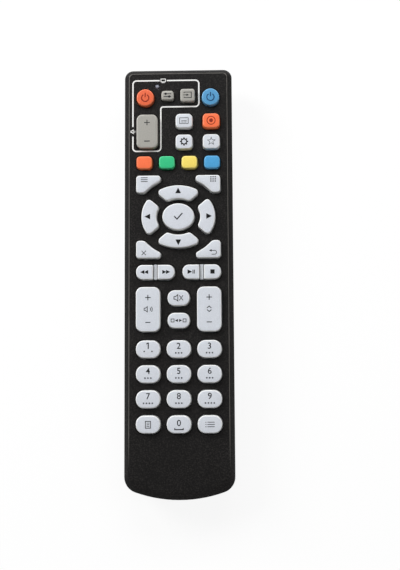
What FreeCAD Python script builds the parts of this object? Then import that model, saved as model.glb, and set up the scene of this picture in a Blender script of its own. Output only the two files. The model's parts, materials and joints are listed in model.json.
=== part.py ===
import FreeCAD, Part
import math
import os

# Remote control for a satellite receiver, as the separate pieces it comes apart into.
# +X is right and +Y is the infrared end when the keys face the reader, +Z comes out of the keys.
# The origin is under the middle of the case, on the plane of the rear pips. All sizes are millimetres.

Vector = FreeCAD.Vector

# Outline of the case
LENGTH = 190.0
WIDTH = 48.0
TOP_CORNER = 3.8
BOTTOM_CORNER = 7.0
BOTTOM_BOW = 58.0

# Heights of the case, from the surface it lies on
PIP_RISE = 0.7
HUMP_DEPTH = 4.9
TIER_RISE = 2.8
REAR_RIM_RISE = 4.5
FRONT_WALL_RISE = 4.5
BEVEL_RISE = 2.25
Z_HUMP = PIP_RISE
Z_RECESS = Z_HUMP + HUMP_DEPTH
Z_LEDGE = Z_RECESS + TIER_RISE
Z_SEAM = Z_LEDGE + REAR_RIM_RISE
Z_BEVEL = Z_SEAM + FRONT_WALL_RISE
Z_FACE = Z_BEVEL + BEVEL_RISE

# Edges of the case
BEVEL_SIDE = 2.0
BEVEL_TOP = 2.0
BEVEL_BOTTOM = 4.4
SEAM_CHAMFER = 0.3
RIM_ROUND = 1.2
TIER_INSET = 1.9
TIER_ROUND = 1.6
ROUND_STEPS = 2
WALL = 1.8

# Two swellings on the back, with a finger hollow between them
HUMP_BASE_HALF = 19.9
HUMP_TOP_HALF = 11.8
HUMP_ROUND = 6.0
TOP_SLOPE_INSET = 1.6
TOP_SLOPE_HEIGHT = 6.45
TOP_SLOPE_ROUND = 5.0
UPPER_HUMP_END = 41.0
UPPER_HUMP_RUN = 9.0
UPPER_HUMP_BOW = 34.0
LOWER_HUMP_FROM_FOOT = 115.7
LOWER_HUMP_RUN = 18.4
LOWER_HUMP_BOW = 37.0
HUMP_END_INSET = 2.0
HUMP_END_ROUND = 3.5
HUMP_END_STEPS = 3

# Pips that the remote lies on
PIP_COUNT = 5
PIP_PITCH = 3.95
PIP_BASE_R = 0.65
PIP_TIP_R = 0.4
PIP_SINK = 0.3
PIP_SIDES = 8
TOP_PIPS_FROM_END = 15.5
BOTTOM_PIPS_FROM_END = 10.4

# Dark inlay near the top of the back
INLAY_FROM_END = 18.6
INLAY_LENGTH = 8.2
INLAY_WIDTH = 16.4
INLAY_ROUND = 1.0
INLAY_THICKNESS = 0.5
INLAY_GAP = 0.05

# Battery cover and its latch
COVER_FROM_FOOT = 17.5
COVER_WIDTH = 25.4
COVER_ROUND = 2.0
COVER_THICKNESS = 1.4
COVER_GAP = 0.2
SEAT_GAP = 0.1
COVER_FRAME = 1.3
FRAME_THICKNESS = 1.9
HOOK_WIDTH = 5.0
HOOK_SPREAD = 8.0
HOOK_REACH = 1.6
HOOK_ROOT = 1.5
HOOK_THICKNESS = 1.0
HOOK_GAP = 0.2
HOOK_SWING = 1.0
TUB_LENGTH = 9.7
TUB_WIDTH = 11.6
TUB_WALL = 1.1
TUB_DEPTH = 6.7
SCOOP_DEPTH = 4.3
SCOOP_LENGTH = 3.9
SCOOP_FLOOR = 1.0
LATCH_WIDTH = 7.9
LATCH_PAD = 4.0
LATCH_PAD_THICKNESS = 1.0
LATCH_SINK = 0.3
LATCH_ARM = 0.8
LATCH_TRAVEL = 1.2
LATCH_STOP_GAP = 0.2
LATCH_GAP = 0.1
LATCH_NIB = 0.9
ARM_UNDER_COVER = 0.4

# Two AAA cells side by side, and the bay that holds them
CELL_DIAMETER = 10.5
CELL_LENGTH = 44.5
CELL_NUB_R = 1.9
CELL_NUB = 1.2
CELL_SIDES = 24
SMALL_SIDES = 12
CELL_SPACING = 11.2
CELL_PLAY = 0.2
BAY_SIDE_PLAY = 0.7
BAY_WALL = 1.2
BAY_ROOF = 0.75
BAY_FROM_COVER_TOP = 2.8
BAY_FROM_COVER_FOOT = 3.0
SPRING_LENGTH = 5.7
SPRING_HALF_WIDTH = 3.0
SPRING_HALF = 3.4
SPRING_TIP = 0.9
SPRING_TOUCH = 0.1
CONTACT_THICKNESS = 0.4
CONTACT_WIDTH = 8.4
CONTACT_HEIGHT = 8.0

# Circuit board, keypad mat and what is soldered on the board
BOARD_THICKNESS = 1.0
BOARD_INSET = 3.2
MAT_THICKNESS = 0.6
MAT_INSET = 0.6
SHEET_CORNER = 4.0
NOTCH_GAP = 0.4
IR_LED_R = 2.5
IR_LED_FLANGE_R = 2.8
IR_LED_LENGTH = 7.4
IR_LED_FLANGE = 1.0
IR_LED_SINK = 0.3
LAMP_SIDES = 16
IR_LED_TIP_R = 1.3
IR_LED_TIP = 1.7
IR_LED_DROP = 0.4
IR_LED_PITCH = 2.54
IR_LEG = 0.5
IR_LEG_LENGTH = 3.0
IR_WINDOW_GAP = 0.15
INDICATOR_X = -9.2
INDICATOR_FROM_END = 8.1
INDICATOR_R = 0.95
INDICATOR_HOLE_R = 1.2
INDICATOR_PROUD = 0.35
INDICATOR_TIP_R = 0.55
INDICATOR_TIP = 0.5
CHIP_LENGTH = 13.0
CHIP_WIDTH = 7.6
CHIP_THICKNESS = 1.9
CHIP_FROM_END = 56.0
CHIP_LEADS = 7
CHIP_LEAD_WIDTH = 0.6
CHIP_LEAD_REACH = 1.2
CHIP_LEAD_THICKNESS = 0.25
RESONATOR_LENGTH = 6.0
RESONATOR_WIDTH = 2.6
RESONATOR_HEIGHT = 3.4
RESONATOR_X = 10.0
CAPACITOR_R = 2.5
CAPACITOR_LENGTH = 8.0
CAPACITOR_X = -11.0
CAPACITOR_FROM_END = 24.0
SMALL_PART_LENGTH = 2.0
SMALL_PART_WIDTH = 1.25
SMALL_PART_HEIGHT = 0.6
SMALL_PART_PITCH = 4.2
SMALL_PART_COUNT = 6
SMALL_PARTS_FROM_END = 36.0
POST_WIDTH = 2.8
POST_X = 17.4
POSTS_FROM_END = (24.0, 66.0, 108.0)
FOOT_POSTS = 12.0
CLIP_WIDTH = 6.0
CLIP_THICKNESS = 1.0
CLIP_HEIGHT = 2.2
CLIP_GAP = 0.1
CLIP_ROOT = 1.2
CLIPS_FROM_END = (30.0, 84.0, 138.0)

# Keys: how they stand in the face and how far they travel
KEY_GAP = 0.25
KEY_FLANGE = 0.6
KEY_TRAVEL = 1.0
KEY_BOTTOM_GAP = 0.1
FLANGE_GAP = 0.1
KEY_EDGE = 0.45
KEY_FINENESS = 0.07
LOW_KEY_RISE = 2.2
WHITE_KEY_RISE = 2.6
ROCKER_RISE = 2.7
ROCKER_SWING = 0.75
ROCKER_FLANGE = 0.8
DIVIDER_WIDTH = 1.5
DIVIDER_RISE = 1.1

# Places of the keys, as X and as the distance of their middle from the infrared end
POWER_X = 14.5
POWER_FROM_END = 13.6
POWER_R = 3.95
SET_KEY = (-4.6, 12.7, 5.7, 4.4)
INPUT_KEY = (4.3, 12.7, 6.6, 6.0)
SMALL_CORNER = 1.3
TV_ROCKER = (-13.7, 28.9, 9.6, 15.4)
TV_ROCKER_CORNER = 2.6
SQUARE_KEY = (7.7, 6.7)
SQUARE_CORNER = 2.0
SQUARE_COLUMNS = (2.7, 14.7)
SQUARE_ROWS = (24.5, 33.9)
COLOUR_KEY = (7.1, 5.8)
COLOUR_CORNER = 1.8
COLOUR_PITCH = 9.97
COLOUR_FROM_END = 43.0
PAD_FROM_END = 67.3
PAD_OUTER_X = 16.3
PAD_OUTER_Y = 14.0
PAD_INNER_X = 9.5
PAD_INNER_Y = 7.9
PAD_DIAGONAL = 40.0
PAD_CHANNEL = 3.95
PAD_CORNER = 1.7
OK_HALF_X = 7.1
OK_HALF_Y = 5.95
CORNER_KEY_INNER_X = 7.6
CORNER_KEY_OUTER_X = 18.6
CORNER_KEY_NEAR = 10.5
CORNER_KEY_FAR = 18.45
CORNER_KEY_TIP = 2.55
CORNER_KEY_FOOT = 3.75
CORNER_KEY_ROUND = 1.45
CORNER_KEY_BEND = 2.0
CORNER_KEY_HOLLOW = 0.75
CORNER_KEY_SWEEP = 20.0
COLUMN_PITCH = 13.3
TRANSPORT_X = 10.13
TRANSPORT_LENGTH = 17.05
TRANSPORT_WIDTH = 6.6
TRANSPORT_SLOT = 1.75
TRANSPORT_SLOT_CORNER = 0.6
TRANSPORT_FROM_END = 91.7
ROCKER_LENGTH = 19.7
ROCKER_WIDTH = 10.8
ROCKER_CORNER = 3.0
ROCKER_FROM_END = 108.0
OVAL_KEY = (9.8, 6.95)
MUTE_FROM_END = 103.15
LAST_FROM_END = 112.95
DIGIT_KEY = (10.75, 7.85)
OVAL_SIDE = 0.6
DIGIT_FROM_END = 125.3
DIGIT_ROW_PITCH = 10.76

HALF = LENGTH / 2.0
Z_INNER_FACE = Z_FACE - WALL
Z_COVER_IN = Z_HUMP + COVER_THICKNESS
Z_CELL = Z_COVER_IN + CELL_PLAY + CELL_DIAMETER / 2.0
Z_BAY_ROOF = Z_CELL + CELL_DIAMETER / 2.0 + CELL_PLAY / 2.0
Z_BOARD = Z_BAY_ROOF + BAY_ROOF
Z_MAT = Z_BOARD + BOARD_THICKNESS
Z_MAT_TOP = Z_MAT + MAT_THICKNESS
Z_KEY_BOTTOM = Z_MAT_TOP + KEY_TRAVEL + KEY_BOTTOM_GAP
Z_FLANGE_TOP = Z_INNER_FACE - FLANGE_GAP
COVER_LOW_Y = COVER_FROM_FOOT - HALF
BAY_LOW_Y = COVER_LOW_Y + BAY_FROM_COVER_FOOT
BAY_TOP_Y = BAY_LOW_Y + CELL_LENGTH + SPRING_LENGTH + 2.0 * CONTACT_THICKNESS
COVER_TOP_Y = BAY_TOP_Y + BAY_FROM_COVER_TOP
COVER_LENGTH = COVER_TOP_Y - COVER_LOW_Y
LOWER_HUMP_START = LENGTH - LOWER_HUMP_FROM_FOOT
BAY_HALF = (CELL_SPACING + CELL_DIAMETER) / 2.0 + BAY_SIDE_PLAY


def from_end(distance):
    return HALF - distance


def box(x0, x1, y0, y1, z0, z1):
    return Part.makeBox(x1 - x0, y1 - y0, z1 - z0, Vector(x0, y0, z0))


def fused(shapes):
    return shapes[0].multiFuse(shapes[1:]).removeSplitter()


def flat(u, v, z):
    return Vector(u, v, z)


def across(u, v, y):
    return Vector(u, y, v)


def along(u, v, x):
    return Vector(x, u, v)


def rounded_wire(points, radii, place, level):
    """A closed outline of straight runs, with an arc of the given radius at each corner."""
    edges = []
    ends = []
    count = len(points)
    for i, (corner, radius) in enumerate(zip(points, radii)):
        before = Vector(*points[i - 1], 0) - Vector(*corner, 0)
        after = Vector(*points[(i + 1) % count], 0) - Vector(*corner, 0)
        before.normalize()
        after.normalize()
        turn = math.pi - before.getAngle(after)
        reach = radius * math.tan(turn / 2.0)
        middle = before + after
        middle.normalize()
        bulge = radius / math.cos(turn / 2.0) - radius
        here = Vector(*corner, 0)
        ends.append((here + before * reach, here + middle * bulge, here + after * reach))
    for i, (start, bulge_point, end) in enumerate(ends):
        if radii[i] > 0.0:
            arc = [place(p.x, p.y, level) for p in (start, bulge_point, end)]
            edges.append(Part.Arc(*arc).toShape())
        following = ends[(i + 1) % count][0]
        if end.distanceToPoint(following) > 1e-6:
            first = place(end.x, end.y, level)
            second = place(following.x, following.y, level)
            edges.append(Part.LineSegment(first, second).toShape())
    return Part.Wire(edges)


def rounded_box(x, y, width, length, radius, z0, z1):
    wire = box_wire(x, y, width, length, (radius,) * 4, z0)
    return Part.Face(wire).extrude(Vector(0, 0, z1 - z0))


def box_wire(x, y, width, length, radii, z=0.0):
    """Corners run from low left round by low right and top right to top left."""
    w = width / 2.0
    h = length / 2.0
    points = [(x - w, y - h), (x + w, y - h), (x + w, y + h), (x - w, y + h)]
    return rounded_wire(points, radii, flat, z)


def case_outline(z, side=0.0, top=0.0, bottom=0.0):
    """The outline of the case seen from the keys, moved in from its sides and ends."""
    half = WIDTH / 2.0 - side
    y_top = HALF - top
    top_r = max(TOP_CORNER - (side + top) / 2.0, 0.6)
    low_r = max(BOTTOM_CORNER - (side + bottom) / 2.0, 0.8)
    bow = BOTTOM_BOW - bottom
    bow_y = BOTTOM_BOW - HALF
    corner_x = half - low_r
    corner_y = bow_y - math.sqrt((bow - low_r) ** 2 - corner_x ** 2)
    reach = bow / (bow - low_r)
    foot = Vector(corner_x * reach, bow_y + (corner_y - bow_y) * reach, z)
    slope = math.atan2(foot.y - bow_y, foot.x)
    halfway = slope / 2.0
    low_mid = Vector(corner_x + low_r * math.cos(halfway), corner_y + low_r * math.sin(halfway), z)
    quarter = math.sqrt(0.5) * top_r
    top_mid = Vector(half - top_r + quarter, y_top - top_r + quarter, z)

    def mirrored(p):
        return Vector(-p.x, p.y, p.z)

    right = [
        (foot, low_mid, Vector(half, corner_y, z)),
        (Vector(half, corner_y, z), None, Vector(half, y_top - top_r, z)),
        (Vector(half, y_top - top_r, z), top_mid, Vector(half - top_r, y_top, z)),
    ]
    low = Vector(0, bow_y - bow, z)
    middle_angle = (slope - math.pi / 2.0) / 2.0
    bow_mid = Vector(bow * math.cos(middle_angle), bow_y + bow * math.sin(middle_angle), z)
    edges = [Part.Arc(mirrored(foot), mirrored(bow_mid), low).toShape(),
             Part.Arc(low, bow_mid, foot).toShape()]
    for start, middle, end in right:
        shape = Part.Arc(start, middle, end) if middle else Part.LineSegment(start, end)
        edges.append(shape.toShape())
    edges.append(Part.LineSegment(right[-1][2], mirrored(right[-1][2])).toShape())
    for start, middle, end in reversed(right):
        if middle:
            shape = Part.Arc(mirrored(end), mirrored(middle), mirrored(start))
        else:
            shape = Part.LineSegment(mirrored(end), mirrored(start))
        edges.append(shape.toShape())
    return Part.Wire(edges)


def case_block(z0, z1, inset, bottom=None):
    wire = case_outline(z0, inset, inset, inset if bottom is None else bottom)
    return Part.Face(wire).extrude(Vector(0, 0, z1 - z0))


def case_levels(levels, bottom=0.0):
    """A block of the case's outline through (height, inset) pairs, with its low end moved in more."""
    profiles = [case_outline(z, inset, inset, inset + bottom) for z, inset in levels]
    return Part.makeLoft(profiles, True, True)


def round_levels(z, radius, inset, steps):
    """Height and inset down a round outer edge, drawn as straight steps from flat to upright."""
    levels = []
    for i in range(steps + 1):
        angle = math.pi / 2.0 * i / steps
        levels.append((z + radius * (1.0 - math.cos(angle)), inset + radius * (1.0 - math.sin(angle))))
    return levels


def edges_at(shape, z):
    """Edges of a shape that lie wholly at one height."""
    return [e for e in shape.Edges if abs(e.BoundBox.ZMin - z) < 1e-4 and abs(e.BoundBox.ZMax - z) < 1e-4]


# Outlines of the keys


def stepped(wire):
    """A closed outline with its curves drawn as chords, so that many keys stay a light model."""
    points = []
    for edge in wire.OrderedEdges:
        chords = 1
        if not isinstance(edge.Curve, Part.Line):
            radius = edge.Curve.MajorRadius if isinstance(edge.Curve, Part.Ellipse) else edge.Curve.Radius
            turned = edge.LastParameter - edge.FirstParameter
            chords = math.ceil(turned / (2.0 * math.acos(max(1.0 - KEY_FINENESS / radius, 0.0))))
        run = edge.discretize(Number=chords + 1)
        if edge.Orientation == "Reversed":
            run.reverse()
        points += run[:-1]
    return Part.makePolygon(points + points[:1])


def prism(wire, z0, z1):
    """An outline drawn at height 0, made solid from z0 to z1."""
    solid = Part.Face(wire).extrude(Vector(0, 0, z1 - z0))
    solid.translate(Vector(0, 0, z0))
    return solid


def turned(start, upright, stations, sides):
    """A turned form with flat sides, through (distance, radius) pairs along Z or along Y."""
    rings = []
    for distance, radius in stations:
        corners = []
        for i in range(sides + 1):
            angle = 2.0 * math.pi * (i + 0.5) / sides
            u = radius * math.cos(angle)
            v = radius * math.sin(angle)
            corners.append(start + (Vector(u, v, distance) if upright else Vector(u, distance, v)))
        rings.append(Part.makePolygon(corners))
    return Part.makeLoft(rings, True, True)


def oval(x, y, size):
    width, length = size
    return box_wire(x, y, width, length, ((length - OVAL_SIDE) / 2.0,) * 4)


def circle_wire(x, y, radius):
    return Part.Wire([Part.Circle(Vector(x, y, 0), Vector(0, 0, 1), radius).toShape()])


def ellipse_wire(x, y, half_x, half_y, z=0.0):
    return Part.Wire([Part.Ellipse(Vector(x, y, z), half_x, half_y).toShape()])


def arc_through(x, crown, drop):
    """Centre height and radius of an arc from (-x, crown - drop) over (0, crown)."""
    radius = (x * x + drop * drop) / (2.0 * drop)
    return crown - radius, radius


def oval_meets(half_x, half_y, slope, start):
    """Where the line that rises from height start at X 0 crosses an oval."""
    share = half_y ** 2 + (half_x * slope) ** 2
    x = (half_x * half_y * math.sqrt(share - start ** 2) - slope * start * half_x ** 2) / share
    return x, start + slope * x


def pad_key(half_outer, half_inner, other_outer, other_inner, edge_angle, turn):
    """One arrow key: a piece of the oval ring between two diagonal channels, turned into place."""
    slope = math.tan(math.radians(edge_angle))
    start = PAD_CHANNEL / 2.0 / math.cos(math.radians(edge_angle))
    x_in, y_in = oval_meets(other_inner, half_inner, slope, start)
    x_out, y_out = oval_meets(other_outer, half_outer, slope, start)
    out_c, out_r = arc_through(x_out, half_outer, half_outer - y_out)
    in_c, in_r = arc_through(x_in, half_inner, half_inner - y_in)
    tall = 1.0
    outer = Part.makeCylinder(out_r, tall, Vector(0, out_c, 0))
    inner = Part.makeCylinder(in_r, tall, Vector(0, in_c, 0))
    far = 2.0 * half_outer
    wedge_points = [(-far, start + far * slope), (0, start), (far, start + far * slope)]
    wedge = Part.Face(rounded_wire(wedge_points, (0, 0, 0), flat, 0)).extrude(Vector(0, 0, tall))
    sector = outer.common(wedge).cut(inner)
    uprights = [e for e in sector.Edges if e.BoundBox.ZLength > tall / 2.0]
    sector = sector.makeFillet(PAD_CORNER, uprights)
    wire = [f for f in sector.Faces if f.BoundBox.ZMax < tall / 2.0][0].OuterWire
    wire = wire.copy()
    wire.rotate(Vector(0, 0, 0), Vector(0, 0, 1), turn)
    wire.translate(Vector(0, from_end(PAD_FROM_END), 0))
    return wire


def upright_pad_key(turn):
    return pad_key(PAD_OUTER_Y, PAD_INNER_Y, PAD_OUTER_X, PAD_INNER_X, PAD_DIAGONAL, turn)


def level_pad_key(turn):
    return pad_key(PAD_OUTER_X, PAD_INNER_X, PAD_OUTER_Y, PAD_INNER_Y, 90.0 - PAD_DIAGONAL, turn)


def corner_key(sign_x, sign_y):
    """A key in one corner round the arrows, with its inner corner cut off hollow along the ring."""
    middle = from_end(PAD_FROM_END)
    tip = Vector(CORNER_KEY_INNER_X, CORNER_KEY_FAR - CORNER_KEY_TIP)
    foot = Vector(CORNER_KEY_OUTER_X - CORNER_KEY_FOOT, CORNER_KEY_NEAR)
    outward = Vector(tip.y - foot.y, foot.x - tip.x).normalize()
    waist = (tip + foot) / 2.0 + outward * CORNER_KEY_HOLLOW
    points = [
        (CORNER_KEY_OUTER_X, CORNER_KEY_FAR),
        (CORNER_KEY_INNER_X, CORNER_KEY_FAR),
        (tip.x, tip.y),
        (waist.x, waist.y),
        (foot.x, foot.y),
        (CORNER_KEY_OUTER_X, CORNER_KEY_NEAR),
    ]
    small = CORNER_KEY_ROUND
    radii = (small, small, small, CORNER_KEY_SWEEP, CORNER_KEY_BEND, small)
    placed = [(sign_x * x, middle + sign_y * y) for x, y in points]
    return rounded_wire(placed, radii, flat, 0)


def transport_half(side, half):
    """Half of an oval pair: side is the pair, half is which of its two keys."""
    width = (TRANSPORT_LENGTH - TRANSPORT_SLOT) / 2.0
    x = side * TRANSPORT_X + half * (TRANSPORT_SLOT + width) / 2.0
    big = (TRANSPORT_WIDTH - OVAL_SIDE) / 2.0
    small = TRANSPORT_SLOT_CORNER
    radii = (big, small, small, big) if half < 0 else (small, big, big, small)
    return box_wire(x, from_end(TRANSPORT_FROM_END), width, TRANSPORT_WIDTH, radii)


def key_outlines():
    """Every key's name, outline, rise above the face, and kind of foot."""
    keys = {}

    def add(name, wire, rise, foot="box"):
        keys["key_" + name] = (wire, rise, foot)

    def plain(name, place, corner, rise):
        x, distance, width, length = place
        add(name, box_wire(x, from_end(distance), width, length, (corner,) * 4), rise)

    power_y = from_end(POWER_FROM_END)
    add("tv_power", circle_wire(-POWER_X, power_y, POWER_R), LOW_KEY_RISE)
    add("receiver_power", circle_wire(POWER_X, power_y, POWER_R), LOW_KEY_RISE)
    plain("set", SET_KEY, SMALL_CORNER, LOW_KEY_RISE)
    plain("input", INPUT_KEY, SMALL_CORNER, LOW_KEY_RISE)
    tv_x, tv_distance, tv_width, tv_length = TV_ROCKER
    tv_wire = box_wire(tv_x, from_end(tv_distance), tv_width, tv_length, (TV_ROCKER_CORNER,) * 4)
    add("tv_volume", tv_wire, LOW_KEY_RISE, "rocker")
    squares = (("audio", 0, 0), ("record", 1, 0), ("settings", 0, 1), ("favourite", 1, 1))
    for name, column, row in squares:
        plain(name, (SQUARE_COLUMNS[column], SQUARE_ROWS[row]) + SQUARE_KEY, SQUARE_CORNER, WHITE_KEY_RISE)
    for i, name in enumerate(("red", "green", "yellow", "blue")):
        x = (i - 1.5) * COLOUR_PITCH
        plain(name, (x, COLOUR_FROM_END) + COLOUR_KEY, COLOUR_CORNER, LOW_KEY_RISE)
    corners = (("menu", -1, 1), ("apps", 1, 1), ("exit", -1, -1), ("back", 1, -1))
    for name, sign_x, sign_y in corners:
        add(name, corner_key(sign_x, sign_y), WHITE_KEY_RISE, "offset")
    add("up", upright_pad_key(0.0), WHITE_KEY_RISE, "offset")
    add("left", level_pad_key(90.0), WHITE_KEY_RISE, "offset")
    add("down", upright_pad_key(180.0), WHITE_KEY_RISE, "offset")
    add("right", level_pad_key(270.0), WHITE_KEY_RISE, "offset")
    add("ok", ellipse_wire(0, from_end(PAD_FROM_END), OK_HALF_X, OK_HALF_Y), WHITE_KEY_RISE, "ellipse")
    transport = (("rewind", -1, -1), ("forward", -1, 1), ("play_pause", 1, -1), ("stop", 1, 1))
    for name, side, half in transport:
        add(name, transport_half(side, half), LOW_KEY_RISE, "outer" if half > 0 else "outer_left")
    for name, side in (("volume", -1), ("channel", 1)):
        corners = (ROCKER_CORNER,) * 4
        y = from_end(ROCKER_FROM_END)
        wire = box_wire(side * COLUMN_PITCH, y, ROCKER_WIDTH, ROCKER_LENGTH, corners)
        add(name, wire, ROCKER_RISE, "rocker")
    add("mute", oval(0, from_end(MUTE_FROM_END), OVAL_KEY), WHITE_KEY_RISE)
    add("last_channel", oval(0, from_end(LAST_FROM_END), OVAL_KEY), WHITE_KEY_RISE)
    rows = (("1", "2", "3"), ("4", "5", "6"), ("7", "8", "9"), ("info", "0", "guide"))
    for row, names in enumerate(rows):
        for column, name in enumerate(names):
            x = (column - 1) * COLUMN_PITCH
            y = from_end(DIGIT_FROM_END + row * DIGIT_ROW_PITCH)
            add(name, oval(x, y, DIGIT_KEY), WHITE_KEY_RISE)
    return keys


def drawn_in(points, inset):
    """Corners of an outline moved inward, so that every side moves by the same amount."""
    moved = []
    area = sum(a.x * b.y - b.x * a.y for a, b in zip(points, points[1:] + points[:1]))
    sign = 1.0 if area > 0.0 else -1.0
    for i, corner in enumerate(points):
        before = corner - points[i - 1]
        after = points[(i + 1) % len(points)] - corner
        before.normalize()
        after.normalize()
        inward = Vector(-before.y - after.y, before.x + after.x, 0) * sign
        moved.append(corner + inward * (inset / (1.0 + before.dot(after))))
    return moved


def stacked(rings):
    """A solid with flat faces between outlines that have as many corners each."""
    levels = [[Vector(p.x, p.y, z) for p in points] for points, z in rings]
    faces = [Part.Face(Part.makePolygon(level + level[:1])) for level in (levels[0], levels[-1])]
    for low, high in zip(levels, levels[1:]):
        for i in range(len(low)):
            j = (i + 1) % len(low)
            faces.append(Part.Face(Part.makePolygon([low[i], low[j], high[j], high[i], low[i]])))
    return Part.Solid(Part.Shell(faces))


def widened(wire, foot, by):
    """The outline moved out all round. An ellipse is drawn again, so that it stays one curve."""
    if foot == "ellipse":
        return ellipse_wire(0, from_end(PAD_FROM_END), OK_HALF_X + by, OK_HALF_Y + by)
    return wire.makeOffset2D(by)


def make_key(wire, rise, foot):
    """A key cap with a bevelled rim, on a foot that stops it under the face."""
    top = Z_FACE + rise
    low = Z_KEY_BOTTOM
    foot_top = Z_FLANGE_TOP
    if foot == "rocker":
        foot_top = Z_FLANGE_TOP - ROCKER_SWING
        low = foot_top - ROCKER_FLANGE
    outline = [v.Point for v in stepped(wire).OrderedVertexes]
    cap = stacked([(outline, foot_top), (outline, top - KEY_EDGE), (drawn_in(outline, KEY_EDGE), top)])
    bounds = wire.BoundBox
    if foot in ("offset", "ellipse"):
        skirt = prism(stepped(widened(wire, foot, KEY_FLANGE)), low, foot_top)
    else:
        left = KEY_FLANGE if foot != "outer" else 0.0
        right = KEY_FLANGE if foot != "outer_left" else 0.0
        skirt = box(bounds.XMin - left, bounds.XMax + right, bounds.YMin - KEY_FLANGE,
                    bounds.YMax + KEY_FLANGE, low, foot_top)
    return fused([skirt, cap])


# Front case


def front_case(keys):
    levels = ((Z_SEAM, SEAM_CHAMFER), (Z_SEAM + SEAM_CHAMFER, 0.0), (Z_BEVEL, 0.0))
    profiles = [case_outline(z, inset, inset, inset) for z, inset in levels]
    profiles.append(case_outline(Z_FACE, BEVEL_SIDE, BEVEL_TOP, BEVEL_BOTTOM))
    shell = Part.makeLoft(profiles, True, True)
    cavity = case_block(Z_SEAM - 1.0, Z_INNER_FACE, WALL, BEVEL_BOTTOM)
    cutters = [cavity, indicator_hole(), ir_window()]
    for wire, rise, foot in keys.values():
        if foot not in ("outer", "outer_left"):
            cutters.append(face_hole(widened(wire, foot, KEY_GAP)))
    for side in (-1, 1):
        grown = (TRANSPORT_LENGTH + 2.0 * KEY_GAP, TRANSPORT_WIDTH + 2.0 * KEY_GAP)
        cutters.append(face_hole(oval(side * TRANSPORT_X, from_end(TRANSPORT_FROM_END), grown)))
    return shell.cut(cutters).removeSplitter()


def face_hole(wire):
    """A cutter for one opening in the face, from under it to above it."""
    return prism(stepped(wire), Z_INNER_FACE - 1.0, Z_FACE + 1.0)


def indicator_hole():
    return face_hole(circle_wire(INDICATOR_X, from_end(INDICATOR_FROM_END), INDICATOR_HOLE_R))


def ir_axis_z():
    return Z_SEAM - IR_LED_DROP


def ir_window():
    """A round window across the seam in the end wall, which the lamp reaches through the ledge."""
    radius = IR_LED_R + IR_WINDOW_GAP
    depth = TIER_INSET + 2.0 * WALL
    return Part.makeCylinder(radius, depth + 1.0, Vector(0, HALF - depth, ir_axis_z()), Vector(0, 1, 0))


# Rear case


def hump_section(half_base, half_top, z_top, z_base, radius, y0, y1):
    """A bar along Y with the rounded trapezium section of the two swellings."""
    slope = (half_base - half_top) / (z_base - z_top)
    z_end = Z_LEDGE
    wide = half_top + slope * (z_end - z_top)
    points = [(-wide, z_end), (-half_top, z_top), (half_top, z_top), (wide, z_end)]
    wire = rounded_wire(points, (0, radius, radius, 0), across, y0)
    return Part.Face(wire).extrude(Vector(0, y1 - y0, 0))


def outer_hump(y0, y1):
    return hump_section(HUMP_BASE_HALF, HUMP_TOP_HALF, Z_HUMP, Z_RECESS, HUMP_ROUND, y0, y1)


def inner_hump(y0, y1):
    base = HUMP_BASE_HALF - WALL
    top = HUMP_TOP_HALF - WALL / 2.0
    return hump_section(base, top, Z_HUMP + WALL, Z_RECESS + WALL, HUMP_ROUND - WALL, y0, y1)


def side_profile(points, radii):
    """A slab across the whole width with a side view given as distance from the end and height."""
    placed = [(from_end(distance), z) for distance, z in points]
    wire = rounded_wire(placed, radii, along, -WIDTH)
    return Part.Face(wire).extrude(Vector(2.0 * WIDTH, 0, 0))


def cone_between(centre_y, radius, z, run, z0, z1):
    """A cone on an upright axis, of the given radius at z, widening by run over the hump's depth."""
    spread = run / HUMP_DEPTH
    low = radius + (z0 - z) * spread
    high = radius + (z1 - z) * spread
    return Part.makeCone(low, high, z1 - z0, Vector(0, centre_y, z0))


def upper_hump():
    corner = TOP_SLOPE_INSET + TOP_SLOPE_HEIGHT
    points = [
        (TOP_SLOPE_INSET, Z_LEDGE),
        (TOP_SLOPE_INSET, Z_HUMP + TOP_SLOPE_HEIGHT),
        (corner, Z_HUMP),
        (UPPER_HUMP_END + UPPER_HUMP_RUN, Z_HUMP),
        (UPPER_HUMP_END + UPPER_HUMP_RUN, Z_LEDGE),
    ]
    side = side_profile(points, (0, 0, TOP_SLOPE_ROUND, 0, 0))
    hump = outer_hump(from_end(UPPER_HUMP_END + UPPER_HUMP_RUN), HALF).common(side)
    hump = hump.common(case_block(Z_HUMP, Z_LEDGE, TOP_SLOPE_INSET))
    centre = from_end(UPPER_HUMP_END) + UPPER_HUMP_BOW
    end = cone_between(centre, UPPER_HUMP_BOW, Z_RECESS, UPPER_HUMP_RUN, Z_HUMP - 0.1, Z_LEDGE)
    return hump.common(end)


def lower_hump():
    levels = round_levels(Z_HUMP, HUMP_END_ROUND, TIER_INSET, HUMP_END_STEPS) + [(Z_LEDGE, TIER_INSET)]
    end = case_levels(levels, HUMP_END_INSET - TIER_INSET)
    hump = outer_hump(-HALF, from_end(LOWER_HUMP_START) + LOWER_HUMP_BOW).common(end)
    centre = from_end(LOWER_HUMP_START) + LOWER_HUMP_BOW
    scoop = cone_between(centre, LOWER_HUMP_BOW, Z_RECESS, -LOWER_HUMP_RUN, Z_HUMP - 1.0, Z_LEDGE)
    return hump.cut(scoop)


def rear_outer():
    rim = case_levels(round_levels(Z_LEDGE, RIM_ROUND, 0.0, ROUND_STEPS)
                      + [(Z_SEAM - SEAM_CHAMFER, 0.0), (Z_SEAM, SEAM_CHAMFER)])
    tier = case_levels(round_levels(Z_RECESS, TIER_ROUND, TIER_INSET, ROUND_STEPS)
                       + [(Z_LEDGE + RIM_ROUND, TIER_INSET)])
    return fused([rim, tier, upper_hump(), lower_hump()])


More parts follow.
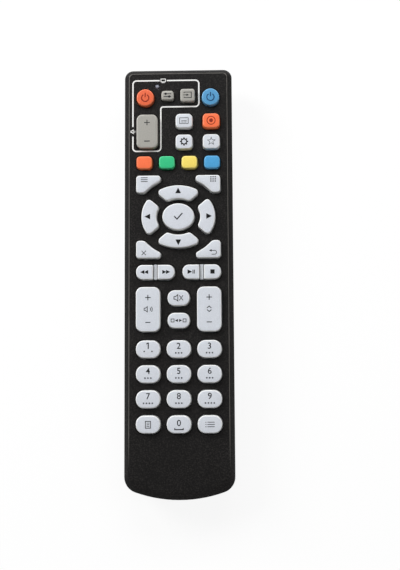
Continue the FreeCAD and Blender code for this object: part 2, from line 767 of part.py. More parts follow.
def rear_cavities():
    rim = case_block(Z_LEDGE + WALL, Z_SEAM + 1.0, WALL)
    tier = case_block(Z_RECESS + WALL, Z_SEAM + 1.0, TIER_INSET + WALL)
    floor = Z_HUMP + WALL
    mouth = Z_RECESS + WALL + 0.5
    slope = TOP_SLOPE_INSET + TOP_SLOPE_HEIGHT
    upper = side_profile([
        (slope + WALL - mouth + floor, mouth),
        (slope + WALL, floor),
        (UPPER_HUMP_END - UPPER_HUMP_RUN - WALL, floor),
        (UPPER_HUMP_END - WALL, mouth),
    ], (0, 0, 0, 0))
    lower = side_profile([
        (LOWER_HUMP_START + WALL, mouth),
        (LOWER_HUMP_START + LOWER_HUMP_RUN + 2.0 * WALL, floor),
        (LENGTH - HUMP_END_INSET - HUMP_END_ROUND - WALL, floor),
        (LENGTH - HUMP_END_INSET - HUMP_END_ROUND - WALL, mouth),
    ], (0, 0, 0, 0))
    bar = inner_hump(-HALF, HALF)
    return [rim, tier, upper.common(bar), lower.common(bar)]


def hook_places():
    return (-HOOK_SPREAD, HOOK_SPREAD)


def rear_case():
    outer = rear_outer()
    shell = outer.cut(rear_cavities())
    frame_half = COVER_WIDTH / 2.0 + COVER_GAP + COVER_FRAME
    z_seat = Z_COVER_IN + SEAT_GAP
    frame = box(-frame_half, frame_half, COVER_LOW_Y - HOOK_REACH - 2.0 * COVER_FRAME,
                COVER_TOP_Y + COVER_FRAME, Z_HUMP, z_seat + FRAME_THICKNESS)
    frame = frame.common(outer)
    wall_half = BAY_HALF + BAY_WALL
    bay = box(-wall_half, wall_half, BAY_LOW_Y - BAY_WALL, BAY_TOP_Y + BAY_WALL, z_seat, Z_BOARD)
    tub_top = COVER_TOP_Y + TUB_LENGTH
    tub_half = TUB_WIDTH / 2.0
    tub = box(-tub_half - TUB_WALL, tub_half + TUB_WALL, BAY_TOP_Y, tub_top + TUB_WALL,
              Z_HUMP + WALL / 2.0, Z_HUMP + TUB_DEPTH + TUB_WALL)
    post_rows = POSTS_FROM_END + (LENGTH - FOOT_POSTS,)
    posts = [support_post(side * POST_X, from_end(distance)) for side in (-1, 1) for distance in post_rows]
    clips = [rim_clip(side, from_end(distance)) for side in (-1, 1) for distance in CLIPS_FROM_END]
    pips = [pip(i, y) for i in range(PIP_COUNT) for y in pip_rows()]
    body = fused([shell, frame, bay, tub] + posts + clips + pips)
    return body.cut(rear_cutters(z_seat, tub_top, tub_half)).removeSplitter()


def rear_cutters(z_seat, tub_top, tub_half):
    bay = box(-BAY_HALF, BAY_HALF, BAY_LOW_Y, BAY_TOP_Y, Z_HUMP - 1.0, Z_BAY_ROOF)
    middle = (COVER_LOW_Y + COVER_TOP_Y) / 2.0
    seat = rounded_box(0, middle, COVER_WIDTH + 2.0 * COVER_GAP, COVER_LENGTH + 2.0 * COVER_GAP,
                       COVER_ROUND + COVER_GAP, Z_HUMP - 1.0, z_seat)
    scoop_low = tub_top - SCOOP_LENGTH
    scoop = box(-tub_half, tub_half, scoop_low, tub_top, Z_HUMP - 1.0, Z_HUMP + SCOOP_DEPTH)
    well_low = COVER_TOP_Y - ARM_UNDER_COVER - LATCH_ARM - COVER_GAP
    well = box(-tub_half, tub_half, well_low, scoop_low, Z_HUMP - 1.0, Z_HUMP + TUB_DEPTH)
    behind = box(-tub_half, tub_half, scoop_low, tub_top,
                 Z_HUMP + SCOOP_DEPTH + SCOOP_FLOOR, Z_HUMP + TUB_DEPTH)
    pockets = []
    for x in hook_places():
        half = HOOK_WIDTH / 2.0 + COVER_GAP
        pockets.append(box(x - half, x + half, COVER_LOW_Y - HOOK_REACH - 2.0 * COVER_GAP,
                           COVER_LOW_Y + HOOK_ROOT + 2.0 * HOOK_SWING, Z_COVER_IN,
                           Z_COVER_IN + HOOK_GAP + HOOK_THICKNESS + HOOK_SWING))
    inlay = rounded_box(0, inlay_y(), INLAY_WIDTH + 2.0 * INLAY_GAP, INLAY_LENGTH + 2.0 * INLAY_GAP,
                        INLAY_ROUND + INLAY_GAP, Z_HUMP - 1.0, Z_HUMP + INLAY_THICKNESS)
    return [bay, seat, scoop, well, behind, inlay, ir_window()] + pockets


def support_post(x, y):
    """A post that rises from the rear case to carry the circuit board."""
    half = POST_WIDTH / 2.0
    return box(x - half, x + half, y - half, y + half, Z_RECESS + WALL / 2.0, Z_BOARD)


def rim_clip(side, y):
    """A clip on the rear case's rim that stands inside the front case's wall."""
    outer = WIDTH / 2.0 - WALL - CLIP_GAP
    x0, x1 = sorted((side * outer, side * (outer - CLIP_THICKNESS)))
    half = CLIP_WIDTH / 2.0
    clip = box(x0, x1, y - half, y + half, Z_SEAM - CLIP_ROOT, Z_SEAM + CLIP_HEIGHT)
    wall_x0, wall_x1 = sorted((side * (outer - CLIP_THICKNESS), side * (WIDTH / 2.0 - WALL / 2.0)))
    root = box(wall_x0, wall_x1, y - half, y + half, Z_SEAM - CLIP_ROOT, Z_SEAM)
    return clip.fuse(root)


def pip_rows():
    return (from_end(TOP_PIPS_FROM_END), BOTTOM_PIPS_FROM_END - HALF)


def pip(index, y):
    """A small bump, a many-sided cone whose tip the remote lies on."""
    x = (index - (PIP_COUNT - 1) / 2.0) * PIP_PITCH
    return turned(Vector(x, y, 0), True, [(0.0, PIP_TIP_R), (PIP_RISE + PIP_SINK, PIP_BASE_R)], PIP_SIDES)


def inlay_y():
    return from_end(INLAY_FROM_END + INLAY_LENGTH / 2.0)


def rear_inlay():
    wire = box_wire(0, inlay_y(), INLAY_WIDTH, INLAY_LENGTH, (INLAY_ROUND,) * 4)
    return prism(stepped(wire), Z_HUMP + INLAY_GAP, Z_HUMP + INLAY_THICKNESS)


# Battery cover


def battery_cover():
    """The cover is a piece of the lower swelling, with two hooks and the fixed arm of its latch."""
    middle = (COVER_LOW_Y + COVER_TOP_Y) / 2.0
    plate = rounded_box(0, middle, COVER_WIDTH, COVER_LENGTH, COVER_ROUND, Z_HUMP, Z_COVER_IN)
    plate = plate.common(outer_hump(COVER_LOW_Y - 1.0, COVER_TOP_Y + 1.0))
    half = HOOK_WIDTH / 2.0
    pieces = [plate]
    z0 = Z_COVER_IN + HOOK_GAP
    for x in hook_places():
        pieces.append(box(x - half, x + half, COVER_LOW_Y + COVER_GAP, COVER_LOW_Y + HOOK_ROOT,
                          Z_COVER_IN - 0.5, z0 + HOOK_THICKNESS))
        pieces.append(box(x - half, x + half, COVER_LOW_Y - HOOK_REACH, COVER_LOW_Y + HOOK_ROOT,
                          z0, z0 + HOOK_THICKNESS))
    latch_half = LATCH_WIDTH / 2.0
    arm_y1 = COVER_TOP_Y - ARM_UNDER_COVER
    foot_z1 = latch_foot_z() + LATCH_ARM
    pieces.append(box(-latch_half, latch_half, arm_y1 - LATCH_ARM, arm_y1, Z_COVER_IN - 0.5, foot_z1))
    pieces.append(box(-latch_half, latch_half, arm_y1 - LATCH_ARM, latch_web_y() - LATCH_ARM,
                      latch_foot_z(), foot_z1))
    return fused(pieces)


def latch_pad_low():
    return COVER_TOP_Y + LATCH_TRAVEL + LATCH_STOP_GAP


def latch_web_y():
    """The far face of the latch's web, in line with the middle of its pad."""
    return latch_pad_low() + LATCH_PAD / 2.0 + LATCH_ARM


def latch_foot_z():
    return Z_HUMP + TUB_DEPTH - LATCH_ARM - 2.0 * LATCH_GAP


def cover_latch():
    """The sprung arm of the latch, with the pad that a finger draws back."""
    half = LATCH_WIDTH / 2.0
    low = latch_pad_low()
    pad_z = Z_HUMP + LATCH_SINK
    pad = box(-half, half, low, low + LATCH_PAD, pad_z, pad_z + LATCH_PAD_THICKNESS)
    rim_edges = edges_at(pad, pad_z)
    pad = pad.makeChamfer(LATCH_SINK, rim_edges)
    web_y = latch_web_y()
    web_z1 = latch_foot_z() - LATCH_GAP
    web = box(-half, half, web_y - LATCH_ARM, web_y, pad_z + LATCH_PAD_THICKNESS / 2.0, web_z1)
    nib_z = Z_HUMP + SCOOP_DEPTH + SCOOP_FLOOR
    nib = box(-half, half, web_y - LATCH_ARM, web_y + LATCH_NIB, nib_z - LATCH_GAP * 3.0, web_z1)
    return fused([pad, web, nib])


# Cells and contacts


def cell(x, nub_up):
    """A round cell with a short terminal at one end."""
    body_length = CELL_LENGTH - CELL_NUB
    if nub_up:
        y = BAY_TOP_Y - CONTACT_THICKNESS - CELL_LENGTH
    else:
        y = BAY_LOW_Y + CONTACT_THICKNESS
    start = Vector(x, y, Z_CELL)
    r = CELL_DIAMETER / 2.0
    body = turned(start, False, [(0.0, r), (body_length, r)], CELL_SIDES)
    nub = turned(start, False, [(body_length, CELL_NUB_R), (CELL_LENGTH, CELL_NUB_R)], SMALL_SIDES)
    shape = body.fuse(nub)
    if not nub_up:
        shape.rotate(Vector(x, y + CELL_LENGTH / 2.0, Z_CELL), Vector(0, 0, 1), 180)
    return shape


def leaf_spring(x, y, direction):
    """A bent strip that stands out from its plate and presses on the flat end of a cell."""
    t = CONTACT_THICKNESS
    reach = SPRING_LENGTH - SPRING_TOUCH
    strip = [(0, -SPRING_HALF), (reach, -SPRING_TIP), (reach, SPRING_TIP), (2.0 * t, SPRING_HALF),
             (t, SPRING_HALF), (reach - t, SPRING_TIP), (reach - t, t - SPRING_TIP), (0, t - SPRING_HALF)]
    corners = [Vector(x - SPRING_HALF_WIDTH, y + direction * u, Z_CELL + v) for u, v in strip]
    face = Part.Face(Part.makePolygon(corners + corners[:1]))
    return face.extrude(Vector(2.0 * SPRING_HALF_WIDTH, 0, 0))


def contact_springs():
    left = leaf_spring(-CELL_SPACING / 2.0, BAY_LOW_Y + CONTACT_THICKNESS, 1)
    right = leaf_spring(CELL_SPACING / 2.0, BAY_TOP_Y - CONTACT_THICKNESS, -1)
    return Part.makeCompound([left, right])


def contact_plates():
    """One plate joins the two cells at the low end, and two stand apart at the other."""
    z0 = Z_CELL - CONTACT_HEIGHT / 2.0
    z1 = Z_CELL + CONTACT_HEIGHT / 2.0
    reach = (CELL_SPACING + CONTACT_WIDTH) / 2.0
    bridge = box(-reach, reach, BAY_LOW_Y, BAY_LOW_Y + CONTACT_THICKNESS, z0, z1)
    plates = [bridge]
    for side in (-1, 1):
        x = side * CELL_SPACING / 2.0
        half = CONTACT_WIDTH / 2.0
        plates.append(box(x - half, x + half, BAY_TOP_Y - CONTACT_THICKNESS, BAY_TOP_Y, z0, z1))
    return Part.makeCompound(plates)


# Board, mat and electronics


def board_notch(gap, z0, z1):
    half = IR_LED_FLANGE_R + gap
    return box(-half, half, HALF - IR_LED_SINK - IR_LED_LENGTH - gap, HALF, z0, z1)


def circuit_board():
    board = plain_sheet(BOARD_INSET, Z_BOARD, Z_MAT)
    return board.cut(board_notch(NOTCH_GAP, Z_BOARD - 1.0, Z_MAT + 1.0))


def plain_sheet(inset, z0, z1):
    """A sheet inside the case, as wide as the case less its inset, with cut corners."""
    x = WIDTH / 2.0 - inset
    y0 = -HALF + BEVEL_BOTTOM + inset
    y1 = HALF - inset
    cut = SHEET_CORNER
    points = [(-x, y0 + cut), (-x + cut, y0), (x - cut, y0), (x, y0 + cut), (x, y1 - cut), (x - cut, y1),
              (-x + cut, y1), (-x, y1 - cut)]
    return prism(Part.makePolygon([Vector(*p, 0) for p in points + points[:1]]), z0, z1)


def keypad_mat():
    """A rubber sheet on the board, open round the two lamps."""
    mat = plain_sheet(BOARD_INSET + MAT_INSET, Z_MAT, Z_MAT_TOP)
    lamp = stepped(circle_wire(INDICATOR_X, from_end(INDICATOR_FROM_END), INDICATOR_R + NOTCH_GAP))
    return mat.cut([board_notch(2.0 * NOTCH_GAP, Z_MAT - 1.0, Z_MAT_TOP + 1.0),
                    prism(lamp, Z_MAT - 1.0, Z_MAT_TOP + 1.0)])


def divider_bars():
    """Two bars between the paired transport keys, standing on the mat."""
    half = DIVIDER_WIDTH / 2.0
    reach = TRANSPORT_WIDTH / 2.0
    y = from_end(TRANSPORT_FROM_END)
    bars = []
    for side in (-1, 1):
        x = side * TRANSPORT_X
        bars.append(box(x - half, x + half, y - reach, y + reach, Z_MAT_TOP, Z_FACE + DIVIDER_RISE))
    return Part.makeCompound(bars)


def ir_led():
    """An infrared lamp lying along the board, with its blunt tip in the end window."""
    base_y = HALF - IR_LED_SINK - IR_LED_LENGTH
    z = ir_axis_z()
    start = Vector(0, base_y, z)
    rim = IR_LED_FLANGE_R
    flange = turned(start, False, [(0.0, rim), (IR_LED_FLANGE, rim)], LAMP_SIDES)
    stations = [(0.0, IR_LED_R), (IR_LED_LENGTH - IR_LED_TIP, IR_LED_R), (IR_LED_LENGTH, IR_LED_TIP_R)]
    barrel = turned(start, False, stations, LAMP_SIDES)
    half = IR_LEG / 2.0
    low_y = base_y - IR_LEG_LENGTH
    legs = []
    for side in (-1, 1):
        x = side * IR_LED_PITCH / 2.0
        legs.append(box(x - half, x + half, low_y, base_y, z - half, z + half))
        legs.append(box(x - half, x + half, low_y, low_y + IR_LEG, z - half, Z_BOARD))
    return fused([flange, barrel] + legs)


def indicator_led():
    """A small round lamp that stands on the board and shows through the face."""
    y = from_end(INDICATOR_FROM_END)
    length = Z_FACE + INDICATOR_PROUD - Z_MAT
    stations = [(0.0, INDICATOR_R), (length - INDICATOR_TIP, INDICATOR_R), (length, INDICATOR_TIP_R)]
    return turned(Vector(INDICATOR_X, y, Z_MAT), True, stations, LAMP_SIDES)


def controller_chip():
    """A moulded chip under the board, with a row of leads along each side."""
    y = from_end(CHIP_FROM_END)
    half_x = CHIP_WIDTH / 2.0
    half_y = CHIP_LENGTH / 2.0
    z0 = Z_BOARD - CHIP_THICKNESS
    pieces = [box(-half_x, half_x, y - half_y, y + half_y, z0, Z_BOARD)]
    pitch = CHIP_LENGTH / CHIP_LEADS
    for i in range(CHIP_LEADS):
        lead_y = y - half_y + (i + 0.5) * pitch
        reach = half_x + CHIP_LEAD_REACH
        pieces.append(box(-reach, reach, lead_y - CHIP_LEAD_WIDTH / 2.0, lead_y + CHIP_LEAD_WIDTH / 2.0,
                          Z_BOARD - CHIP_LEAD_THICKNESS, Z_BOARD))
    return fused(pieces)


def resonator():
    y = from_end(CHIP_FROM_END)
    half_x = RESONATOR_WIDTH / 2.0
    half_y = RESONATOR_LENGTH / 2.0
    return box(RESONATOR_X - half_x, RESONATOR_X + half_x, y - half_y, y + half_y,
               Z_BOARD - RESONATOR_HEIGHT, Z_BOARD)


def capacitor():
    """A round can lying against the underside of the board."""
    start = Vector(CAPACITOR_X, from_end(CAPACITOR_FROM_END) - CAPACITOR_LENGTH, Z_BOARD - CAPACITOR_R)
    return turned(start, False, [(0.0, CAPACITOR_R), (CAPACITOR_LENGTH, CAPACITOR_R)], SMALL_SIDES)


def chip_components():
    """A short row of small blocks soldered under the board."""
    y = from_end(SMALL_PARTS_FROM_END)
    blocks = []
    for i in range(SMALL_PART_COUNT):
        x = (i - (SMALL_PART_COUNT - 1) / 2.0) * SMALL_PART_PITCH
        blocks.append(box(x - SMALL_PART_LENGTH / 2.0, x + SMALL_PART_LENGTH / 2.0,
                          y - SMALL_PART_WIDTH / 2.0, y + SMALL_PART_WIDTH / 2.0,
                          Z_BOARD - SMALL_PART_HEIGHT, Z_BOARD))
    return Part.makeCompound(blocks)


def all_nodes():
    keys = key_outlines()
    nodes = {
        "front_case": front_case(keys),
        "rear_case": rear_case(),
        "rear_inlay": rear_inlay(),
        "battery_cover": battery_cover(),
        "cover_latch": cover_latch(),
        "battery_left": cell(-CELL_SPACING / 2.0, True),
        "battery_right": cell(CELL_SPACING / 2.0, False),
        "contact_springs": contact_springs(),
        "contact_plates": contact_plates(),
        "circuit_board": circuit_board(),
        "keypad_mat": keypad_mat(),
        "divider_bars": divider_bars(),
        "ir_led": ir_led(),
        "indicator_led": indicator_led(),
        "controller_chip": controller_chip(),
        "resonator": resonator(),
        "capacitor": capacitor(),
        "chip_components": chip_components(),
    }
    for name, (wire, rise, foot) in keys.items():
        nodes[name] = make_key(wire, rise, foot)
    return nodes


os.makedirs("parts", exist_ok=True)
for node_name, node_shape in all_nodes().items():
    node_shape.exportStep("parts/" + node_name + ".step")
    print(node_name, len(node_shape.Solids), round(node_shape.Volume, 1), node_shape.isValid())
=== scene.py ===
import bmesh
import bpy
import json
import math
from mathutils import Matrix, Vector
from mathutils.bvhtree import BVHTree


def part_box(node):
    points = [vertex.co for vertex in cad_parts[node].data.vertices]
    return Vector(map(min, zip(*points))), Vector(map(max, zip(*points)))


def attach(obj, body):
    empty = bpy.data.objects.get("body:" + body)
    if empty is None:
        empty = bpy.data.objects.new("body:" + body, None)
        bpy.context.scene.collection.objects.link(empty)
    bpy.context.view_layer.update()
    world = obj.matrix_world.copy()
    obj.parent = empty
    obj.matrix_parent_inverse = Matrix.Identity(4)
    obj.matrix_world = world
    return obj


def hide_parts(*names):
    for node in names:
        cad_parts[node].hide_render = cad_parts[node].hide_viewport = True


# A satellite receiver remote lying on its back, with the keys up. Sizes are written in millimetres.

MM = 0.001
SAME_PLACE = 1e-6

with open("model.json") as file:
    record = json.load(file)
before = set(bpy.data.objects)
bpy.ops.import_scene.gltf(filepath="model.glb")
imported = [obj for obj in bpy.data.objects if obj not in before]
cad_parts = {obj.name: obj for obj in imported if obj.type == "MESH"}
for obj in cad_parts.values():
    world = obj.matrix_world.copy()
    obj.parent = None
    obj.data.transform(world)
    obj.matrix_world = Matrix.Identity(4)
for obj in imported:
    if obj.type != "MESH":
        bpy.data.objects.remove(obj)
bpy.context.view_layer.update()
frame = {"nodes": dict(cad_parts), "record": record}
nodes = frame["nodes"]

KEY_NAMES = sorted(name.removeprefix("key_") for name in nodes if name.startswith("key_"))


# Shader maths as Python expressions


class Value:
    """The output of a shader node. Arithmetic on it adds Math nodes to the same material."""

    def __init__(self, paint, socket):
        self.paint = paint
        self.socket = socket

    def maths(self, operation, other, swapped=False):
        pair = (other, self) if swapped else (self, other)
        return self.paint.node("Math", {"operation": operation}, dict(enumerate(pair)))

    def __add__(self, other):
        return self.maths("ADD", other)

    def __radd__(self, other):
        return self.maths("ADD", other, True)

    def __sub__(self, other):
        return self.maths("SUBTRACT", other)

    def __rsub__(self, other):
        return self.maths("SUBTRACT", other, True)

    def __mul__(self, other):
        return self.maths("MULTIPLY", other)

    def __rmul__(self, other):
        return self.maths("MULTIPLY", other, True)

    def or_else(self, other):
        """The greater of two values: for masks, 1 where either one is."""
        return self.maths("MAXIMUM", other)


# The colour sockets of a Mix node, which share their names with its number sockets
MIX_FACTOR = 0
MIX_FIRST = 6
MIX_SECOND = 7
MIX_COLOUR = 2


class Paint:
    """One material: its node tree, and the Principled shader that it ends in."""

    def __init__(self, name, **constants):
        self.material = bpy.data.materials.new(name)
        self.material.use_nodes = True
        self.tree = self.material.node_tree
        self.shader = self.tree.nodes["Principled BSDF"]
        for words, value in constants.items():
            self.shader.inputs[words.replace("_", " ")].default_value = value

    def node(self, kind, settings=None, values=None, output=0):
        """A new node with its settings, then the values or links of its sockets. Gives one of its outputs."""
        made = self.tree.nodes.new("ShaderNode" + kind)
        for key, setting in (settings or {}).items():
            setattr(made, key, setting)
        for key, value in (values or {}).items():
            self.feed(made.inputs[key], value)
        return None if output is None else Value(self, made.outputs[output])

    def feed(self, socket, value):
        if isinstance(value, Value):
            self.tree.links.new(value.socket, socket)
        else:
            socket.default_value = value

    def drive(self, words, value):
        self.feed(self.shader.inputs[words], value)

    def place(self):
        return self.node("TexCoord", output="Object")

    def noise(self, size_mm, detail=2.0, stretch=(1.0, 1.0, 1.0)):
        """Noise from 0 to 1 whose lumps are about size_mm across."""
        spread = self.node("Mapping", {}, {"Vector": self.place(), "Scale": stretch})
        values = {"Vector": spread, "Scale": 1.0 / (size_mm * MM), "Detail": detail}
        return self.node("TexNoise", {}, values)

    def blend(self, factor, first, second):
        """The first colour where the factor is 0, and the second where it is 1."""
        sockets = {MIX_FACTOR: factor, MIX_FIRST: first, MIX_SECOND: second}
        return self.node("Mix", {"data_type": "RGBA"}, sockets, MIX_COLOUR)

    def ramp(self, value, low, high):
        """0 below low, 1 above high, and straight between."""
        values = {"Value": value, "From Min": low, "From Max": high}
        return self.node("MapRange", {"clamp": True}, values)

    def along(self, axis):
        """The place on the object, along X (0) or Y (1)."""
        return self.node("SeparateXYZ", {}, {0: self.place()}, output=axis)

    def upward(self):
        """How far the surface faces along the object's own Z."""
        return self.node("SeparateXYZ", {}, {0: self.node("TexCoord", output="Normal")}, output=2)

    def bump(self, height, depth_mm, strength=1.0):
        values = {"Height": height, "Distance": depth_mm * MM, "Strength": strength}
        self.drive("Normal", self.node("Bump", {}, values))


class Sky(Paint):
    """The world's light, written with the same nodes as a material."""

    def __init__(self, name):
        self.world = bpy.data.worlds.new(name)
        self.world.use_nodes = True
        self.tree = self.world.node_tree
        self.tree.nodes.clear()


def srgb(red, green, blue):
    """A colour as seen on a screen, 0 to 255, as the linear colour that shaders use."""
    linear = []
    for part in (red, green, blue):
        share = part / 255.0
        linear.append(share / 12.92 if share <= 0.04045 else ((share + 0.055) / 1.055) ** 2.4)
    return (*linear, 1.0)


# Finishes


# The painted highlight on the front's outer edge: its reach across, at the top end and fading before the
# foot, and its colour
RIM_SIDE = (19.8, 20.6)
RIM_TOP = (89.5, 91.0)
RIM_FADE = (-82.0, -66.0)
RIM_HIGHLIGHT_COLOUR = srgb(112, 109, 105)


def rim_painted_highlight(paint):
    """1 on the front's outer edge, where a painted highlight lightens the colour, 0 elsewhere, and faded out
    before the foot.
    """
    across = paint.along(0)
    up_length = paint.along(1)
    beside = paint.ramp(across * across, *[(half * MM) ** 2 for half in RIM_SIDE])
    beside = beside * paint.ramp(up_length, *[place * MM for place in RIM_FADE])
    beyond = paint.ramp(up_length, *[place * MM for place in RIM_TOP])
    facing = paint.upward()
    turning = paint.ramp(facing, 0.9, 0.96) * (1.0 - paint.ramp(facing, 0.988, 0.9985))
    return beside.or_else(beyond) * turning


def case_plastic(name, dark, light, roughness, grain_mm=0.5, grain_depth=0.035, shine=0.1):
    """Satin moulded plastic with a fine spark-eroded grain, slow cloudy handling marks, and a painted
    highlight along the front's outer edge.
    """
    paint = Paint(name, Specular_IOR_Level=shine)
    grain = paint.noise(grain_mm, 3.0)
    cloud = paint.noise(14.0, 3.0)
    speckle = paint.ramp(paint.noise(grain_mm * 1.2, 3.0), 0.46, 0.66)
    moulded = paint.blend(speckle * (0.4 + 0.6 * cloud), dark, light)
    # The outer edge is lightened by a painted highlight, mottled by the cloud
    paint.drive("Base Color", paint.blend(rim_painted_highlight(paint) * (0.4 + 0.6 * cloud), moulded, RIM_HIGHLIGHT_COLOUR))
    paint.drive("Roughness", roughness + 0.12 * (cloud - 0.5) + 0.1 * (grain - 0.5))
    paint.bump(grain, grain_depth, 0.9)
    return paint.material


KEY_ROUGHNESS = 0.38
KEY_SPECKLE = 0.9


def darker(colour, share):
    return (*(part * share for part in colour[:3]), 1.0)


def key_plastic(name, top, rim):
    """A painted key cap: a slightly speckled top, and a paler rim where the edge turns over."""
    paint = Paint(name, Specular_IOR_Level=0.3, Coat_Roughness=0.25)
    edge = 1.0 - paint.ramp(paint.upward(), 0.86, 0.985)
    speckle = paint.noise(0.35, 2.0)
    cloud = paint.noise(5.0, 2.0)
    shade = darker(top, KEY_SPECKLE)
    body = paint.blend(paint.ramp(speckle, 0.4, 0.62) * (0.6 + 0.4 * cloud), shade, top)
    paint.drive("Base Color", paint.blend(edge, body, rim))
    paint.drive("Roughness", KEY_ROUGHNESS + 0.12 * (speckle - 0.5) + 0.08 * (cloud - 0.5))
    paint.drive("Coat Weight", 0.06 + 0.06 * cloud)
    paint.bump(paint.noise(0.6, 2.0), 0.012, 0.5)
    return paint.material


def print_ink(name, colour, worn):
    """Screen-printed ink, thinner in places."""
    paint = Paint(name, Specular_IOR_Level=0.12)
    patch = paint.noise(0.8, 3.0)
    paint.drive("Base Color", paint.blend(paint.ramp(patch, 0.35, 0.75) * 0.5, colour, worn))
    paint.drive("Roughness", 0.5 + 0.2 * patch)
    return paint.material


def brushed_metal(name, colour, roughness):
    paint = Paint(name)
    lines = paint.noise(0.5, 3.0, (8.0, 0.6, 8.0))
    paint.drive("Base Color", paint.blend(lines, darker(colour, 0.75), colour))
    paint.drive("Metallic", 1.0 - 0.08 * lines)
    paint.drive("Roughness", roughness + 0.15 * (lines - 0.5))
    paint.bump(lines, 0.01, 0.4)
    return paint.material


def lacquered_board(name):
    """Green lacquer with the lighter tracks that lie under it."""
    paint = Paint(name, Coat_Roughness=0.15)
    cells = paint.node("TexVoronoi", {"feature": "DISTANCE_TO_EDGE", "distance": "MANHATTAN"},
                       {"Vector": paint.place(), "Scale": 1.0 / (5.0 * MM)})
    track = 1.0 - paint.ramp(cells, 0.03, 0.07)
    paint.drive("Base Color", paint.blend(track, srgb(22, 74, 44), srgb(52, 118, 66)))
    paint.drive("Roughness", 0.35 + 0.1 * paint.noise(2.0))
    paint.drive("Coat Weight", 0.4 - 0.1 * track)
    paint.bump(track, 0.03, 0.6)
    return paint.material


def cell_wrap(name, nub_up=True):
    """A plain two-colour cell: a dark wrap, a copper-coloured band by the terminal and bare steel ends."""
    paint = Paint(name)
    along = paint.node("SeparateXYZ", {}, {0: paint.node("TexCoord", output="Generated")}, output=1)
    facing = paint.node("SeparateXYZ", {}, {0: paint.node("TexCoord", output="Normal")}, output=1)
    bare = paint.ramp(facing * facing, 0.9, 0.95)
    band = paint.ramp(along if nub_up else 1.0 - along, 0.685, 0.69)
    scuff = paint.noise(1.5, 3.0, (1.0, 0.25, 1.0))
    wrap = paint.blend(band, paint.blend(scuff, srgb(26, 29, 38), srgb(44, 48, 60)), srgb(196, 124, 62))
    paint.drive("Base Color", paint.blend(bare, wrap, srgb(196, 196, 192)))
    paint.drive("Metallic", 0.25 + 0.55 * band)
    paint.drive("Roughness", 0.3 + 0.15 * scuff)
    paint.bump(scuff, 0.01, 0.3)
    return paint.material


def lamp_plastic(name, colour, clearness):
    """Cast resin, clear enough to glow a little at its rim."""
    paint = Paint(name, Transmission_Weight=clearness, IOR=1.5)
    swirl = paint.noise(1.0, 2.0)
    paint.drive("Base Color", paint.blend(swirl, darker(colour, 0.7), colour))
    paint.drive("Roughness", 0.12 + 0.1 * swirl)
    return paint.material


CASE_DARK = srgb(11, 10, 10)
CASE_LIGHT = srgb(40, 38, 37)

finishes = {
    "case_black": case_plastic("case_black", CASE_DARK, CASE_LIGHT, 0.46),
    "inlay_black": case_plastic("inlay_black", srgb(9, 9, 9), srgb(18, 17, 17), 0.3, 1.2, 0.004, 0.1),
    "key_white": key_plastic("key_white", srgb(203, 207, 214), srgb(224, 225, 224)),
    "key_grey": key_plastic("key_grey", srgb(156, 154, 148), srgb(174, 172, 165)),
    "power_red": key_plastic("power_red", srgb(218, 97, 59), srgb(232, 118, 78)),
    "power_blue": key_plastic("power_blue", srgb(76, 143, 188), srgb(104, 165, 206)),
    "key_red": key_plastic("key_red", srgb(236, 110, 66), srgb(242, 126, 80)),
    "key_green": key_plastic("key_green", srgb(42, 180, 120), srgb(70, 194, 136)),
    "key_yellow": key_plastic("key_yellow", srgb(233, 210, 100), srgb(240, 220, 122)),
    "key_blue": key_plastic("key_blue", srgb(68, 150, 200), srgb(92, 166, 212)),
    "divider_grey": case_plastic("divider_grey", srgb(172, 175, 180), srgb(190, 193, 198), 0.45, 0.4, 0.01),
    "lamp_dark": lamp_plastic("lamp_dark", srgb(52, 26, 36), 0.35),
    "lamp_clear": lamp_plastic("lamp_clear", srgb(178, 182, 196), 0.4),
    "cell_wrap": cell_wrap("cell_wrap"),
    "contact_steel": brushed_metal("contact_steel", srgb(204, 204, 198), 0.32),
    "board_green": lacquered_board("board_green"),
    "mat_rubber": case_plastic("mat_rubber", srgb(128, 128, 130), srgb(146, 146, 148), 0.7, 0.6, 0.03),
    "chip_black": case_plastic("chip_black", srgb(22, 22, 23), srgb(34, 34, 35), 0.55, 0.3, 0.02),
    "resonator_blue": case_plastic("resonator_blue", srgb(50, 88, 150), srgb(70, 108, 170), 0.4, 0.5, 0.01),
}
INK_DARK = print_ink("ink_dark", srgb(18, 20, 24), srgb(38, 40, 45))
INK_GREY = print_ink("ink_grey", srgb(48, 51, 57), srgb(70, 74, 80))
INK_BLACK = print_ink("ink_black", srgb(8, 8, 9), srgb(22, 22, 24))
INK_RED = print_ink("ink_red", srgb(122, 36, 24), srgb(150, 54, 36))
INK_BLUE = print_ink("ink_blue", srgb(28, 62, 96), srgb(44, 84, 122))
INK_WHITE = print_ink("ink_white", srgb(232, 232, 230), srgb(206, 206, 204))


def slot_of(node):
    for part in frame["record"]["subparts"]:
        if part["node"] == node:
            return part["material_slot"]
    raise KeyError(node)


def paint_nodes():
    for name, obj in nodes.items():
        for place in obj.material_slots:
            place.material = finishes[slot_of(name)]


# Meshes


def add_mesh(name, geometry, body, material):
    """A new piece from a bmesh, riding on a body and painted with one material."""
    mesh = bpy.data.meshes.new(name)
    geometry.to_mesh(mesh)
    geometry.free()
    piece = bpy.data.objects.new(name, mesh)
    bpy.context.scene.collection.objects.link(piece)
    mesh.materials.append(material)
    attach(piece, body)
    return piece


def node_geometry(name):
    """A welded copy of a CAD node's mesh."""
    geometry = bmesh.new()
    geometry.from_mesh(nodes[name].data)
    bmesh.ops.remove_doubles(geometry, verts=geometry.verts, dist=SAME_PLACE)
    return geometry


# Key caps, rounded and crowned over the outlines of the CAD keys

OUTLINE_STEP = 0.45
LONG_SIDE = 2.0
CAP_DRAFT = 0.14
CAP_ROUND = 0.5
CAP_ROUND_STEPS = 6
CROWN_HEIGHT = 0.1
CROWN_SHARES = (0.9, 0.78, 0.6, 0.38, 0.16)
TOP_LOWERED = 0.03


